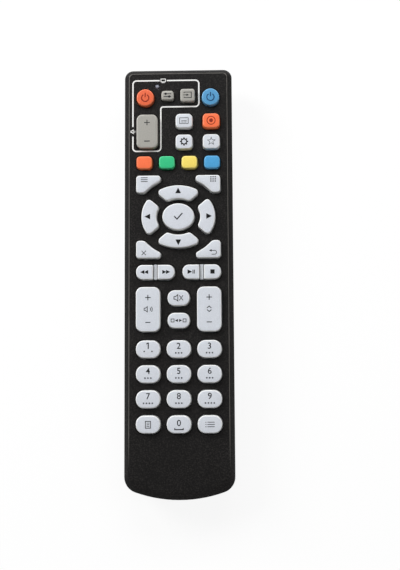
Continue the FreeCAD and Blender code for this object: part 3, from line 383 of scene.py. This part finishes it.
def level_loop(geometry, z):
    """The closed run of corners at one height, in order."""
    start = next(v for v in geometry.verts if abs(v.co.z - z) < SAME_PLACE)
    loop = [start]
    while True:
        here = loop[-1]
        for edge in here.link_edges:
            other = edge.other_vert(here)
            if abs(other.co.z - z) < SAME_PLACE and other not in loop[-2:]:
                break
        if other is start or len(loop) > len(geometry.verts):
            return [Vector((v.co.x, v.co.y)) for v in loop]
        loop.append(other)


def counter_clockwise(points):
    area = sum(a.x * b.y - b.x * a.y for a, b in zip(points, points[1:] + points[:1]))
    return points if area > 0.0 else points[::-1]


def smooth_outline(corners):
    """Fills in the curve between the corners. A side LONG_SIDE times as long as the next stays straight."""
    count = len(corners)
    tangents = []
    for i, here in enumerate(corners):
        before = here - corners[i - 1]
        after = corners[(i + 1) % count] - here
        if before.length > LONG_SIDE * after.length:
            tangents.append(before.normalized())
        elif after.length > LONG_SIDE * before.length:
            tangents.append(after.normalized())
        else:
            tangents.append((before.normalized() + after.normalized()).normalized())
    outline = []
    for i, here in enumerate(corners):
        there = corners[(i + 1) % count]
        length = (there - here).length
        pieces = max(2, math.ceil(length / (OUTLINE_STEP * MM)))
        for k in range(pieces):
            t = k / pieces
            outline.append(here * (2 * t ** 3 - 3 * t ** 2 + 1) + there * (3 * t ** 2 - 2 * t ** 3)
                           + tangents[i] * length * (t ** 3 - 2 * t ** 2 + t)
                           + tangents[(i + 1) % count] * length * (t ** 3 - t ** 2))
    return outline


def drawn_in(outline, inset):
    """The outline with every side moved inward by the same amount."""
    moved = []
    for i, here in enumerate(outline):
        before = (here - outline[i - 1]).normalized()
        after = (outline[(i + 1) % len(outline)] - here).normalized()
        inward = Vector((-before.y - after.y, before.x + after.x))
        moved.append(here + inward * (inset / (1.0 + before.dot(after))))
    return moved


def cap_levels(foot_z, rim_z):
    """Inset and height of each ring up a cap's side and round its edge."""
    radius = CAP_ROUND * MM
    draft = CAP_DRAFT * MM
    levels = [(0.0, foot_z), (draft, rim_z - radius)]
    for i in range(1, CAP_ROUND_STEPS + 1):
        angle = math.pi / 2.0 * i / CAP_ROUND_STEPS
        inset = draft + radius * (1.0 - math.cos(angle))
        levels.append((inset, rim_z - radius * (1.0 - math.sin(angle))))
    return levels


def cap_rings(outline, foot_z, top_z):
    """The rings of a cap, with a shallow crown that narrows towards the middle."""
    rim_z = top_z - CROWN_HEIGHT * MM
    rings = [[(*p, z) for p in drawn_in(outline, inset)] for inset, z in cap_levels(foot_z, rim_z)]
    edge = [Vector(p) for p in rings[-1]]
    middle = sum(edge, Vector()) / len(edge)
    for share in CROWN_SHARES:
        lift = Vector((0.0, 0.0, CROWN_HEIGHT * MM * (1.0 - share ** 2)))
        rings.append([tuple(middle + (p - middle) * share + lift) for p in edge])
    return rings


def key_cap(name):
    """The cap of one key, on a copy of its foot. Gives its middle, height and surface, for the print."""
    node = "key_" + name
    cad = node_geometry(node)
    heights = sorted({round(v.co.z, 6) for v in cad.verts})
    foot_z, side_z, top_z = heights[-3:]
    outline = smooth_outline(counter_clockwise(level_loop(cad, side_z)))
    above = [v for v in cad.verts if v.co.z > foot_z + SAME_PLACE]
    bmesh.ops.delete(cad, geom=above, context="VERTS")
    crown_z = top_z - TOP_LOWERED * MM
    rings = [[cad.verts.new(p) for p in ring] for ring in cap_rings(outline, foot_z, crown_z)]
    for low, high in zip(rings, rings[1:]):
        for i in range(len(low)):
            j = (i + 1) % len(low)
            cad.faces.new((low[i], low[j], high[j], high[i])).smooth = True
    cad.faces.new(rings[-1]).smooth = True
    surface = BVHTree.FromBMesh(cad)
    slot_name = slot_of(node)
    piece = add_mesh("cap_" + name, cad, node, finishes[slot_name])
    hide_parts(node)
    xs = [p.x for p in outline]
    ys = [p.y for p in outline]
    middle = Vector(((min(xs) + max(xs)) / 2.0, (min(ys) + max(ys)) / 2.0))
    return middle, crown_z, surface


# Printed marks: flat shapes a hair above the surface they are printed on

INK_THICKNESS = 0.02
INK_LIFT = 0.012
INK_STEP = 0.6
DIGIT_HEIGHT = 2.75
DIGIT_BOLDNESS = 0.03
CAPITAL_SHARE = 0.73
DOT_STEP = 1.25
DOT_RADIUS = 0.36
DOT_ROW_Y = -1.65


def bar(x0, y0, x1, y1):
    return [(x0, y0), (x1, y0), (x1, y1), (x0, y1)]


def centred_bar(x, y, width, height):
    return bar(x - width / 2.0, y - height / 2.0, x + width / 2.0, y + height / 2.0)


def disc(x, y, radius, corners=24):
    turns = [2.0 * math.pi * i / corners for i in range(corners)]
    return [(x + radius * math.cos(a), y + radius * math.sin(a)) for a in turns]


def arc_points(x, y, radius, start, end, steps=28):
    turn = [math.radians(start + (end - start) * i / steps) for i in range(steps + 1)]
    return [(x + radius * math.cos(a), y + radius * math.sin(a)) for a in turn]


def stroke(points, width, closed=False):
    """Four-sided pieces that follow a line, mitred where it bends."""
    line = [Vector(p) for p in points]
    count = len(line)
    sides = []
    for i, here in enumerate(line):
        before = (here - line[i - 1]).normalized() if i or closed else None
        after = (line[(i + 1) % count] - here).normalized() if i < count - 1 or closed else None
        first = before or after
        second = after or before
        normal = Vector((-first.y - second.y, first.x + second.x))
        normal *= width / 2.0 / (1.0 + first.dot(second))
        sides.append((here + normal, here - normal))
    if closed:
        sides.append(sides[0])
    return [[tuple(a[0]), tuple(a[1]), tuple(b[1]), tuple(b[0])] for a, b in zip(sides, sides[1:])]


def ring(x, y, radius, width):
    return stroke(arc_points(x, y, radius, 0.0, 360.0)[:-1], width, True)


def triangle(x, y, size, degrees):
    """A filled arrow head that points along the given direction."""
    turn = math.radians(degrees)
    corners = ((0.62 * size, 0.0), (-0.38 * size, 0.5 * size), (-0.38 * size, -0.5 * size))
    return [(x + u * math.cos(turn) - v * math.sin(turn), y + u * math.sin(turn) + v * math.cos(turn))
            for u, v in corners]


def plus(x, y, size, width):
    arm = (size - width) / 2.0
    reach = (size + width) / 4.0
    return [centred_bar(x, y, size, width), centred_bar(x, y + reach, width, arm),
            centred_bar(x, y - reach, width, arm)]


def minus(x, y, size, width):
    return [centred_bar(x, y, size, width)]


def power_mark():
    return stroke(arc_points(0.0, -0.2, 1.6, 60.0, -240.0), 0.5) + [centred_bar(0.0, 1.1, 0.5, 2.0)]


def input_mark():
    box_line = [(-1.5, 0.75), (-1.5, 1.25), (1.7, 1.25), (1.7, -1.25), (-1.5, -1.25), (-1.5, -0.75)]
    return stroke(box_line, 0.3) + [centred_bar(-1.2, 0.0, 1.6, 0.3), triangle(0.0, 0.0, 1.1, 0.0)]


def subtitle_mark():
    frame_line = [(-1.9, 1.3), (1.9, 1.3), (1.9, -1.3), (-1.9, -1.3)]
    lines = [bar(-1.2, -0.75, -0.2, -0.5), bar(0.1, -0.75, 1.2, -0.5), bar(-1.2, -0.15, 1.2, 0.1)]
    return stroke(frame_line, 0.24, True) + lines


def gear_mark():
    shapes = ring(0.0, 0.0, 1.15, 0.5)
    for i in range(8):
        angle = math.pi / 4.0 * i
        inner = Vector((math.cos(angle), math.sin(angle)))
        shapes += stroke([inner * 1.38, inner * 1.85], 0.58)
    return shapes


def star_mark():
    corners = []
    for i in range(10):
        radius = 1.75 if i % 2 == 0 else 0.75
        angle = math.pi / 2.0 + math.pi / 5.0 * i
        corners.append((radius * math.cos(angle), radius * math.sin(angle)))
    return stroke(corners, 0.2, True)


def bars_mark():
    return [centred_bar(0.0, y, 3.0, 0.32) for y in (0.85, 0.0, -0.85)]


def grid_mark():
    return [centred_bar(x, y, 0.55, 0.55) for x in (-0.95, 0.0, 0.95) for y in (-0.95, 0.0, 0.95)]


def cross_mark():
    return stroke([(-0.95, -0.95), (0.95, 0.95)], 0.3) + stroke([(-0.95, 0.95), (-0.15, 0.15)], 0.3) \
        + stroke([(0.15, -0.15), (0.95, -0.95)], 0.3)


def return_mark():
    bend = arc_points(0.55, -0.2, 0.85, 90.0, -90.0, 12)
    return stroke([(-0.9, 0.65)] + bend + [(-0.75, -1.05)], 0.28) + [triangle(-1.2, 0.65, 1.15, 180.0)]


def speaker(x, y, size, width):
    body = [(-0.9, 0.4), (-0.4, 0.4), (0.3, 1.0), (0.3, -1.0), (-0.4, -0.4), (-0.9, -0.4)]
    return stroke([(x + u * size, y + v * size) for u, v in body], width, True)


def volume_mark():
    waves = stroke(arc_points(0.1, 0.0, 1.1, 38.0, -38.0, 10), 0.3) \
        + stroke(arc_points(0.1, 0.0, 1.8, 38.0, -38.0, 12), 0.3)
    return speaker(-0.6, 0.0, 1.15, 0.3) + waves


def mute_mark():
    slash = stroke([(0.35, 1.1), (1.95, -1.1)], 0.32) + stroke([(0.35, -1.1), (0.98, -0.22)], 0.32) \
        + stroke([(1.32, 0.24), (1.95, 1.1)], 0.32)
    return speaker(-0.7, 0.0, 1.4, 0.32) + slash


def list_mark():
    shapes = []
    for y in (0.95, 0.0, -0.95):
        shapes += [centred_bar(-1.75, y, 0.42, 0.3), centred_bar(0.45, y, 3.1, 0.28)]
    return shapes


def space_mark():
    return stroke([(-1.8, -1.5), (-1.8, -2.15), (1.8, -2.15), (1.8, -1.5)], 0.42)


def sliders_mark():
    """Two lines with a knob on each, for a setting."""
    return [centred_bar(0.0, 0.62, 3.4, 0.34), centred_bar(0.0, -0.62, 3.4, 0.34), disc(-0.8, 0.62, 0.52),
            disc(0.8, -0.62, 0.52)]


def tick_mark():
    return stroke([(-1.75, 0.1), (-0.55, -1.25), (1.85, 1.45)], 0.5)


def chevrons_mark():
    """One small arrow head up and one down."""
    return stroke([(-0.95, 0.35), (0.0, 1.2), (0.95, 0.35)], 0.36) \
        + stroke([(-0.95, -0.35), (0.0, -1.2), (0.95, -0.35)], 0.36)


def swap_mark():
    """Two squares with an arrow head towards each."""
    squares = []
    for x in (-2.6, 2.6):
        squares += stroke(centred_bar(x, 0.0, 1.3, 1.3), 0.3, True)
    return squares + [triangle(-0.75, 0.0, 1.3, 180.0), triangle(0.75, 0.0, 1.3, 0.0)]


def page_mark():
    """A sheet with three lines on it."""
    sheet = stroke([(-1.1, -1.45), (1.1, -1.45), (1.1, 1.45), (-1.1, 1.45)], 0.3, True)
    return sheet + [centred_bar(0.0, y, 1.2, 0.26) for y in (0.7, 0.0, -0.7)]


def dot_row(count):
    """A row of plain dots under a digit."""
    return [disc(DOT_STEP * (i - (count - 1) / 2.0), DOT_ROW_Y, DOT_RADIUS, 12) for i in range(count)]


def digit_sign(digit, y):
    """One plain digit that stands on y, in the middle of its key."""
    return ("digit", digit, y)


def digit_mesh(digit):
    curve = bpy.data.curves.new("digit", "FONT")
    curve.body = digit
    curve.align_x = "CENTER"
    curve.size = DIGIT_HEIGHT / CAPITAL_SHARE
    curve.offset = DIGIT_BOLDNESS
    curve.resolution_u = 4
    holder = bpy.data.objects.new("digit", curve)
    mesh = bpy.data.meshes.new_from_object(holder)
    bpy.data.objects.remove(holder)
    bpy.data.curves.remove(curve)
    return mesh


def cut_short(shape):
    """A four-sided shape cut across its length into pieces that can follow a crowned key."""
    if len(shape) != 4:
        return [shape]
    a, b, c, d = (Vector(p) for p in shape)
    if (b - a).length < (d - a).length:
        a, b, c, d = b, c, d, a
    count = max(1, math.ceil(max((b - a).length, (c - d).length) / INK_STEP))
    pieces = []
    for k in range(count):
        start = k / count
        end = (k + 1) / count
        corners = (a.lerp(b, start), a.lerp(b, end), d.lerp(c, end), d.lerp(c, start))
        pieces.append([tuple(corner) for corner in corners])
    return pieces


def laid_on(geometry, surface, z):
    """Moves the print down on the surface that it is on, so that it follows a crowned key."""
    for vertex in geometry.verts:
        hit = surface.ray_cast(Vector((vertex.co.x, vertex.co.y, z + MM)), Vector((0.0, 0.0, -1.0)))[0]
        if hit:
            vertex.co.z += hit.z - z


def flat_print(shapes, on_crown):
    """All the shapes as faces at height 0 that look up, cut into short pieces where they lie on a crown."""
    geometry = bmesh.new()
    for shape in shapes:
        if shape[0] == "digit":
            mesh = digit_mesh(shape[1])
            mesh.transform(Matrix.Translation((0.0, shape[2], 0.0)))
            geometry.from_mesh(mesh)
            bpy.data.meshes.remove(mesh)
            continue
        for piece in cut_short(shape) if on_crown else [shape]:
            geometry.faces.new([geometry.verts.new((x, y, 0.0)) for x, y in piece])
    bmesh.ops.recalc_face_normals(geometry, faces=geometry.faces)
    for face in geometry.faces:
        if face.normal.z < 0.0:
            face.normal_flip()
    return geometry


def thicken(geometry):
    """Raises a copy of the flat print by the ink's thickness, and closes the sides between."""
    flat = list(geometry.faces)
    raised = bmesh.ops.extrude_face_region(geometry, geom=flat, use_keep_orig=True)
    moved = [item for item in raised["geom"] if isinstance(item, bmesh.types.BMVert)]
    bmesh.ops.translate(geometry, verts=moved, vec=(0.0, 0.0, INK_THICKNESS))
    for face in flat:
        face.normal_flip()


def printed(name, shapes, origin, z, body, material, surface=None):
    """One piece of ink made of all the shapes, each a thin plate."""
    geometry = flat_print(shapes, surface is not None)
    thicken(geometry)
    bmesh.ops.scale(geometry, vec=(MM, MM, MM), verts=geometry.verts)
    bmesh.ops.translate(geometry, verts=geometry.verts, vec=(origin.x, origin.y, z + INK_LIFT * MM))
    if surface:
        laid_on(geometry, surface, z)
    return add_mesh(name, geometry, body, material)


DOTS_UNDER = {"2": 3, "3": 3, "4": 3, "5": 3, "6": 3, "7": 4, "8": 3, "9": 4}


def key_marks():
    """Ink and shapes of every key's mark, about the middle of the key."""
    rocker_signs = plus(0.0, 5.1, 2.4, 0.38) + minus(0.0, -5.7, 2.2, 0.38)
    tv_signs = plus(0.0, 3.9, 2.5, 0.36) + minus(0.0, -4.5, 2.5, 0.42)
    marks = {
        "tv_power": (INK_RED, power_mark()),
        "receiver_power": (INK_BLUE, power_mark()),
        "set": (INK_DARK, sliders_mark()),
        "input": (INK_DARK, input_mark()),
        "tv_volume": (INK_DARK, tv_signs),
        "audio": (INK_DARK, subtitle_mark()),
        "record": (INK_RED, ring(0.0, 0.0, 1.8, 0.36) + [disc(0.0, 0.0, 0.85)]),
        "settings": (INK_BLACK, gear_mark()),
        "favourite": (INK_DARK, star_mark()),
        "up": (INK_BLACK, [triangle(0.0, 0.7, 2.5, 90.0)]),
        "down": (INK_BLACK, [triangle(0.0, -0.7, 2.5, -90.0)]),
        "left": (INK_BLACK, [triangle(-0.8, 0.0, 2.5, 180.0)]),
        "right": (INK_BLACK, [triangle(0.8, 0.0, 2.5, 0.0)]),
        "ok": (INK_DARK, tick_mark()),
        "rewind": (INK_BLACK, [triangle(-0.7, 0.0, 1.8, 180.0), triangle(0.95, 0.0, 1.8, 180.0)]),
        "forward": (INK_BLACK, [triangle(-0.95, 0.0, 1.8, 0.0), triangle(0.7, 0.0, 1.8, 0.0)]),
        "play_pause": (INK_BLACK, [triangle(-0.7, 0.0, 2.0, 0.0), centred_bar(0.9, 0.0, 0.36, 1.7),
                                   centred_bar(1.55, 0.0, 0.36, 1.7)]),
        "stop": (INK_BLACK, [centred_bar(0.0, 0.0, 1.85, 1.85)]),
        "volume": (INK_DARK, rocker_signs + volume_mark()),
        "channel": (INK_DARK, rocker_signs + chevrons_mark()),
        "mute": (INK_DARK, mute_mark()),
        "last_channel": (INK_DARK, swap_mark()),
        "info": (INK_BLACK, page_mark()),
        "guide": (INK_DARK, list_mark()),
        "menu": (INK_DARK, bars_mark()),
        "apps": (INK_DARK, grid_mark()),
        "exit": (INK_DARK, cross_mark()),
        "back": (INK_BLACK, return_mark()),
    }
    for digit in "23456789":
        marks[digit] = (INK_BLACK, [digit_sign(digit, 0.1)])
    marks["0"] = (INK_BLACK, [digit_sign("0", -0.6)] + space_mark())
    marks["1"] = (INK_BLACK, [centred_bar(0.15, 1.48, 0.46, 2.75), *stroke([(-0.7, 2.2), (0.0, 2.7)], 0.4),
                              disc(-1.6, -0.95, 0.34, 10), disc(1.75, -0.95, 0.34, 10)])
    return marks


# Where the corner keys carry their marks, away from the cut corner
MARK_SHIFTS = {"menu": (-1.8, 2.0), "apps": (2.3, 2.0), "exit": (-2.0, -1.6), "back": (2.2, -1.4)}


def build_keys():
    marks = key_marks()
    for name in KEY_NAMES:
        middle, top_z, surface = key_cap(name)
        body = "key_" + name
        if name in marks:
            material, shapes = marks[name]
            shift = Vector(MARK_SHIFTS.get(name, (0.0, 0.0))) * MM
            printed("mark_" + name, shapes, middle + shift, top_z, body, material, surface)
        if name in DOTS_UNDER:
            dots = dot_row(DOTS_UNDER[name])
            printed("dots_" + name, dots, middle, top_z, body, INK_GREY, surface)
        if name == "5":
            build_finger_dots(middle, top_z, body)


FINGER_DOT_FROM_MIDDLE = 3.1
FINGER_DOT_SUNK = 0.3
FINGER_DOT_RADIUS = 0.38


def build_finger_dots(middle, top_z, body):
    """Two small raised dots that the thumb finds the middle key by."""
    geometry = bmesh.new()
    for side in (-1, 1):
        x = middle.x + side * FINGER_DOT_FROM_MIDDLE * MM
        place = Matrix.Translation((x, middle.y, top_z - FINGER_DOT_SUNK * MM))
        bmesh.ops.create_uvsphere(geometry, u_segments=16, v_segments=10, radius=FINGER_DOT_RADIUS * MM,
                                  matrix=place)
    for face in geometry.faces:
        face.smooth = True
    add_mesh("finger_dots", geometry, body, finishes["key_white"])


# The printed frame round the television keys

FRAME_LINE = 0.6
FRAME_ROUND = 1.6
FRAME_INNER_ROUND = 1.1
FRAME_ROUND_STEPS = 8
FRAME_LEFT = -20.15
FRAME_RIGHT = 9.3
FRAME_MIDDLE = -7.7
FRAME_FROM_TOP = 5.35
FRAME_LOW_FROM_TOP = 17.4
FRAME_BOTTOM_FROM_TOP = 37.5
SCREEN_SIGN_X = -6.6
SCREEN_GAP_HALF = 1.6
SOUND_SIGN_FROM_FRAME = 23.2
SOUND_GAP_HALF = 2.2


def rounded_line(corners, radii):
    """An open line with an arc at each inner corner."""
    line = [corners[0]]
    for i in range(1, len(corners) - 1):
        here = Vector(corners[i])
        back = (Vector(corners[i - 1]) - here).normalized()
        ahead = (Vector(corners[i + 1]) - here).normalized()
        radius = radii[i - 1]
        centre = here + (back + ahead) * radius
        for k in range(FRAME_ROUND_STEPS + 1):
            turn = math.pi / 2.0 * k / FRAME_ROUND_STEPS
            line.append(tuple(centre - ahead * radius * math.cos(turn) - back * radius * math.sin(turn)))
    line.append(corners[-1])
    return line


def screen_sign(x, y):
    low = y - 0.55
    high = y + 0.75
    outline = stroke([(x - 1.0, high), (x + 1.0, high), (x + 1.0, low), (x - 1.0, low)], 0.3, True)
    return outline + [centred_bar(x, y - 0.95, 1.3, 0.28)]


def sound_sign(x, y):
    return speaker(x - 0.1, y, 0.85, 0.3) + stroke(arc_points(x + 0.1, y, 0.8, 40.0, -40.0, 8), 0.26)


def build_printed_frame():
    """A pale line round the television keys, open where two small signs stand."""
    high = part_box("front_case")[1]
    end = high.y / MM
    top = end - FRAME_FROM_TOP
    low_bar = end - FRAME_LOW_FROM_TOP
    bottom = end - FRAME_BOTTOM_FROM_TOP
    sound_y = top - SOUND_SIGN_FROM_FRAME
    right_of_screen = (SCREEN_SIGN_X + SCREEN_GAP_HALF, top)
    left_of_screen = (SCREEN_SIGN_X - SCREEN_GAP_HALF, top)
    under_sound = (FRAME_LEFT, sound_y - SOUND_GAP_HALF)
    over_sound = (FRAME_LEFT, sound_y + SOUND_GAP_HALF)
    corners = [right_of_screen, (FRAME_RIGHT, top), (FRAME_RIGHT, low_bar), (FRAME_MIDDLE, low_bar),
               (FRAME_MIDDLE, bottom), (FRAME_LEFT, bottom), under_sound]
    radii = [FRAME_ROUND, FRAME_ROUND, FRAME_INNER_ROUND, FRAME_ROUND, FRAME_ROUND]
    long_line = rounded_line(corners, radii)
    short_line = rounded_line([over_sound, (FRAME_LEFT, top), left_of_screen], [FRAME_ROUND])
    shapes = stroke(long_line, FRAME_LINE) + stroke(short_line, FRAME_LINE)
    shapes += screen_sign(SCREEN_SIGN_X, top) + sound_sign(FRAME_LEFT, sound_y)
    face_z = high.z - INK_LIFT * MM
    printed("printed_frame", shapes, Vector((0.0, 0.0)), face_z, "root", INK_WHITE)


# Moulded pieces, with their edges rounded

SHARP_ANGLE = 28.0
PIP_TOP = 0.68
INNER_CREASE_ANGLE = 20.0
SWELLING_TOP = 0.8
SWELLING_CREASE_ANGLE = 12.0
SWELLING_FOOT = -80.0
FLAT_FACING = 0.9999


def is_bevelled(edge):
    """Whether an edge is an outward corner of the case. The pips under the back are too small for it."""
    if min(v.co.z for v in edge.verts) < PIP_TOP * MM:
        return False
    return edge.is_convex and edge.calc_face_angle(0.0) > math.radians(SHARP_ANGLE)


def is_crease(edge, smooth_angle):
    """Whether the shading breaks at an edge: a sharp one, an inner corner or a swelling's shallow rim."""
    angle = math.degrees(edge.calc_face_angle(0.0))
    if angle > smooth_angle or angle > INNER_CREASE_ANGLE and not edge.is_convex:
        return True
    on_swelling = all(v.co.z < SWELLING_TOP * MM and v.co.y > SWELLING_FOOT * MM for v in edge.verts)
    beside_flat = any(abs(face.normal.z) > FLAT_FACING for face in edge.link_faces)
    return on_swelling and beside_flat and angle > SWELLING_CREASE_ANGLE


def build_moulding(node, name, width_mm, angle):
    """A copy of a CAD node with its sharp edges rounded by the given width, and smooth shading elsewhere."""
    geometry = node_geometry(node)
    sharp = [edge for edge in geometry.edges if is_bevelled(edge)] if width_mm else []
    if sharp:
        bmesh.ops.bevel(geometry, geom=sharp, offset=width_mm * MM, offset_type="OFFSET", segments=2,
                        profile=0.5, affect="EDGES", clamp_overlap=False)
    for face in geometry.faces:
        face.smooth = True
    for edge in geometry.edges:
        edge.smooth = not is_crease(edge, angle)
    slot_name = slot_of(node)
    bodies = frame["record"]["behaviour"]["bodies"]
    body = next(body for body, members in bodies.items() if node in members)
    piece = add_mesh(name, geometry, body, finishes[slot_name])
    piece.modifiers.new("flat faces stay flat", "WEIGHTED_NORMAL").keep_sharp = True
    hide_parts(node)


# Each moulded node, the name of its rounded copy, the width of its rounded edges and its least sharp angle
MOULDINGS = (
    ("front_case", "front_shell", 0.4, 32.0),
    ("rear_case", "rear_shell", 0.15, 50.0),
    ("battery_cover", "cover_plate", 0.1, 50.0),
    ("cover_latch", "latch_slider", 0.1, 50.0),
    ("rear_inlay", "back_label", 0.1, 50.0),
    ("divider_bars", "dividers", 0.15, 50.0),
    ("ir_led", "infrared_lamp", 0.0, 40.0),
    ("indicator_led", "signal_lamp", 0.0, 40.0),
)


def build_mouldings():
    for node, name, width_mm, angle in MOULDINGS:
        build_moulding(node, name, width_mm, angle)


# The two cells. A rounded corner has one point between its ends, at ROUND_MIDDLE of its radius.

CELL_CORNERS = 48
CELL_WRAP_ROUND = 0.35
CELL_RIM = 0.7
CELL_STEP = 0.25
NUB_ROUND = 0.3
BEYOND_NUB = 1.5
ROUND_MIDDLE = 0.3
CELL_CREASE = 50.0


def cell_profile(corners):
    """The turned outline of a cell, as places along it and distances from its middle line."""
    base = min(along for along, out in corners)
    tip = max(along for along, out in corners)
    radius = max(out for along, out in corners)
    nub_radius = max(out for along, out in corners if along > tip - SAME_PLACE)
    shoulder = max(along for along, out in corners if out > nub_radius * BEYOND_NUB)
    roll = CELL_WRAP_ROUND * MM
    rim = CELL_RIM * MM
    step = CELL_STEP * MM
    soft = NUB_ROUND * MM
    foot = [(base + step, 0.0), (base + step, radius - rim), (base, radius - rim), (base, radius - roll),
            (base + roll * ROUND_MIDDLE, radius - roll * ROUND_MIDDLE), (base + roll, radius)]
    head = [(shoulder - roll, radius), (shoulder - roll * ROUND_MIDDLE, radius - roll * ROUND_MIDDLE),
            (shoulder, radius - roll), (shoulder, radius - rim), (shoulder - step, radius - rim),
            (shoulder - step, nub_radius + soft)]
    nub = [(shoulder, nub_radius), (tip - soft, nub_radius),
           (tip - soft * ROUND_MIDDLE, nub_radius - soft * ROUND_MIDDLE),
           (tip, nub_radius - soft), (tip, 0.0)]
    return foot + head + nub


def build_cell(node, name, nub_up):
    """A turned cell that fills its CAD node: rolled-in wrap at both ends, and a stepped terminal."""
    geometry = node_geometry(node)
    nub_side = 1.0 if nub_up else -1.0
    centre = (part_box(node)[0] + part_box(node)[1]) / 2.0
    profile = cell_profile([(v.co.y * nub_side, abs(v.co.x - centre.x)) for v in geometry.verts])
    geometry.free()
    turned = bmesh.new()
    rings = []
    turns = [2.0 * math.pi * i / CELL_CORNERS for i in range(CELL_CORNERS)]
    for along, out in profile:
        y = along * nub_side
        if out == 0.0:
            rings.append([turned.verts.new((centre.x, y, centre.z))])
            continue
        rings.append([turned.verts.new((centre.x + out * math.cos(a), y, centre.z + out * math.sin(a)))
                      for a in turns])
    for low, high in zip(rings, rings[1:]):
        for i in range(CELL_CORNERS):
            j = (i + 1) % CELL_CORNERS
            corners = [low[i % len(low)], low[j % len(low)], high[j % len(high)], high[i % len(high)]]
            turned.faces.new(list(dict.fromkeys(corners))).smooth = True
    bmesh.ops.recalc_face_normals(turned, faces=turned.faces)
    for edge in turned.edges:
        edge.smooth = math.degrees(edge.calc_face_angle(0.0)) < CELL_CREASE
    piece = add_mesh(name, turned, "root", cell_wrap(name, nub_up))
    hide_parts(node)


# Floor, light and camera

CAMERA_PLACE = (20.083, -43.654, 427.015)
CAMERA_TURN = (-5.7882, -1.508, 0.501)
PICTURE_HEIGHT_PX = 570.0
FOCAL_PX = 937.55
SENSOR_MM = 24.0


def build_camera():
    camera = bpy.data.cameras.new("camera")
    camera.sensor_fit = "VERTICAL"
    camera.sensor_height = SENSOR_MM
    camera.lens = FOCAL_PX / PICTURE_HEIGHT_PX * SENSOR_MM
    camera.clip_start = 0.01
    camera.clip_end = 20.0
    holder = bpy.data.objects.new("camera", camera)
    x, y, z = (math.radians(angle) for angle in CAMERA_TURN)
    world_to_camera = Matrix.Rotation(z, 3, "Z") @ Matrix.Rotation(y, 3, "Y") @ Matrix.Rotation(x, 3, "X")
    place = Matrix.Translation(Vector(CAMERA_PLACE) * MM)
    holder.matrix_world = place @ world_to_camera.transposed().to_4x4()
    bpy.context.scene.collection.objects.link(holder)
    bpy.context.scene.camera = holder


def add_lamp(name, place, size, power):
    """A white panel of light that looks at the remote's middle."""
    lamp = bpy.data.lights.new(name, "AREA")
    lamp.shape = "RECTANGLE"
    lamp.size, lamp.size_y = size
    lamp.energy = power
    holder = bpy.data.objects.new(name, lamp)
    holder.location = place
    holder.rotation_euler = (Vector((0.0, 0.0, 0.0)) - Vector(place)).to_track_quat("-Z", "Y").to_euler()
    bpy.context.scene.collection.objects.link(holder)


WHITE = (1.0, 1.0, 1.0, 1.0)
WORLD_STRENGTH = 0.13


def build_lights():
    add_lamp("left_light", (-0.9, 0.7, 0.8), (0.5, 0.7), 19.0)
    add_lamp("far_light", (0.1, 1.1, 0.85), (1.0, 0.5), 11.5)
    add_lamp("right_light", (0.95, 0.1, 0.85), (0.25, 1.2), 3.0)
    add_lamp("under_light", (0.0, -0.3, -0.9), (0.9, 0.6), 15.0)
    bpy.context.scene.world = studio_world()


def background_seen(paint):
    """1 for the rays that show the background: the camera's own, and those off a shine or through glass."""
    direct = paint.node("LightPath", output="Is Camera Ray")
    reflected = paint.node("LightPath", output="Is Glossy Ray")
    through = paint.node("LightPath", output="Is Transmission Ray")
    return direct.or_else(reflected).or_else(through)


def studio_world():
    """A dim even light all round, that looks white to the camera and in reflections."""
    sky = Sky("studio")
    dim = sky.node("Background", {}, {"Color": WHITE, "Strength": WORLD_STRENGTH})
    bright = sky.node("Background", {}, {"Color": WHITE, "Strength": 1.0})
    mixed = sky.node("MixShader", {}, {0: background_seen(sky), 1: dim, 2: bright})
    sky.node("OutputWorld", {}, {"Surface": mixed}, None)
    return sky.world


FLOOR_HALF = 3.0
FLOOR_GLOW = 0.9
FLOOR_SHADE = (0.9, 0.9, 0.9, 1.0)
FLOOR_TINT = (0.93, 0.93, 0.93, 1.0)


def build_floor():
    """A pale floor, seen from above only, that keeps the object's shadow and lets the under light through."""
    paint = Paint("floor", Roughness=0.9)
    paint.drive("Base Color", paint.blend(paint.noise(60.0), FLOOR_SHADE, FLOOR_TINT))
    glow = paint.node("Emission", {}, {"Color": WHITE, "Strength": 1.0})
    shared = background_seen(paint) * FLOOR_GLOW
    lit = paint.node("MixShader", {}, {0: shared, 1: Value(paint, paint.shader.outputs[0]), 2: glow})
    clear = paint.node("BsdfTransparent")
    below = paint.node("NewGeometry", output="Backfacing")
    passing = paint.node("LightPath", output="Is Shadow Ray")
    final = paint.node("MixShader", {}, {0: below.or_else(passing), 1: lit, 2: clear})
    output = paint.tree.nodes["Material Output"]
    paint.tree.links.new(final.socket, output.inputs["Surface"])
    geometry = bmesh.new()
    corners = bar(-FLOOR_HALF, -FLOOR_HALF, FLOOR_HALF, FLOOR_HALF)
    geometry.faces.new([geometry.verts.new((x, y, 0.0)) for x, y in corners])
    mesh = bpy.data.meshes.new("floor")
    geometry.to_mesh(mesh)
    geometry.free()
    floor = bpy.data.objects.new("floor", mesh)
    mesh.materials.append(paint.material)
    bpy.context.scene.collection.objects.link(floor)


bpy.context.scene.view_settings.view_transform = "Standard"
paint_nodes()
build_keys()
build_printed_frame()
build_mouldings()
build_cell("battery_left", "cell_left", True)
build_cell("battery_right", "cell_right", False)
build_floor()
build_lights()
build_camera()
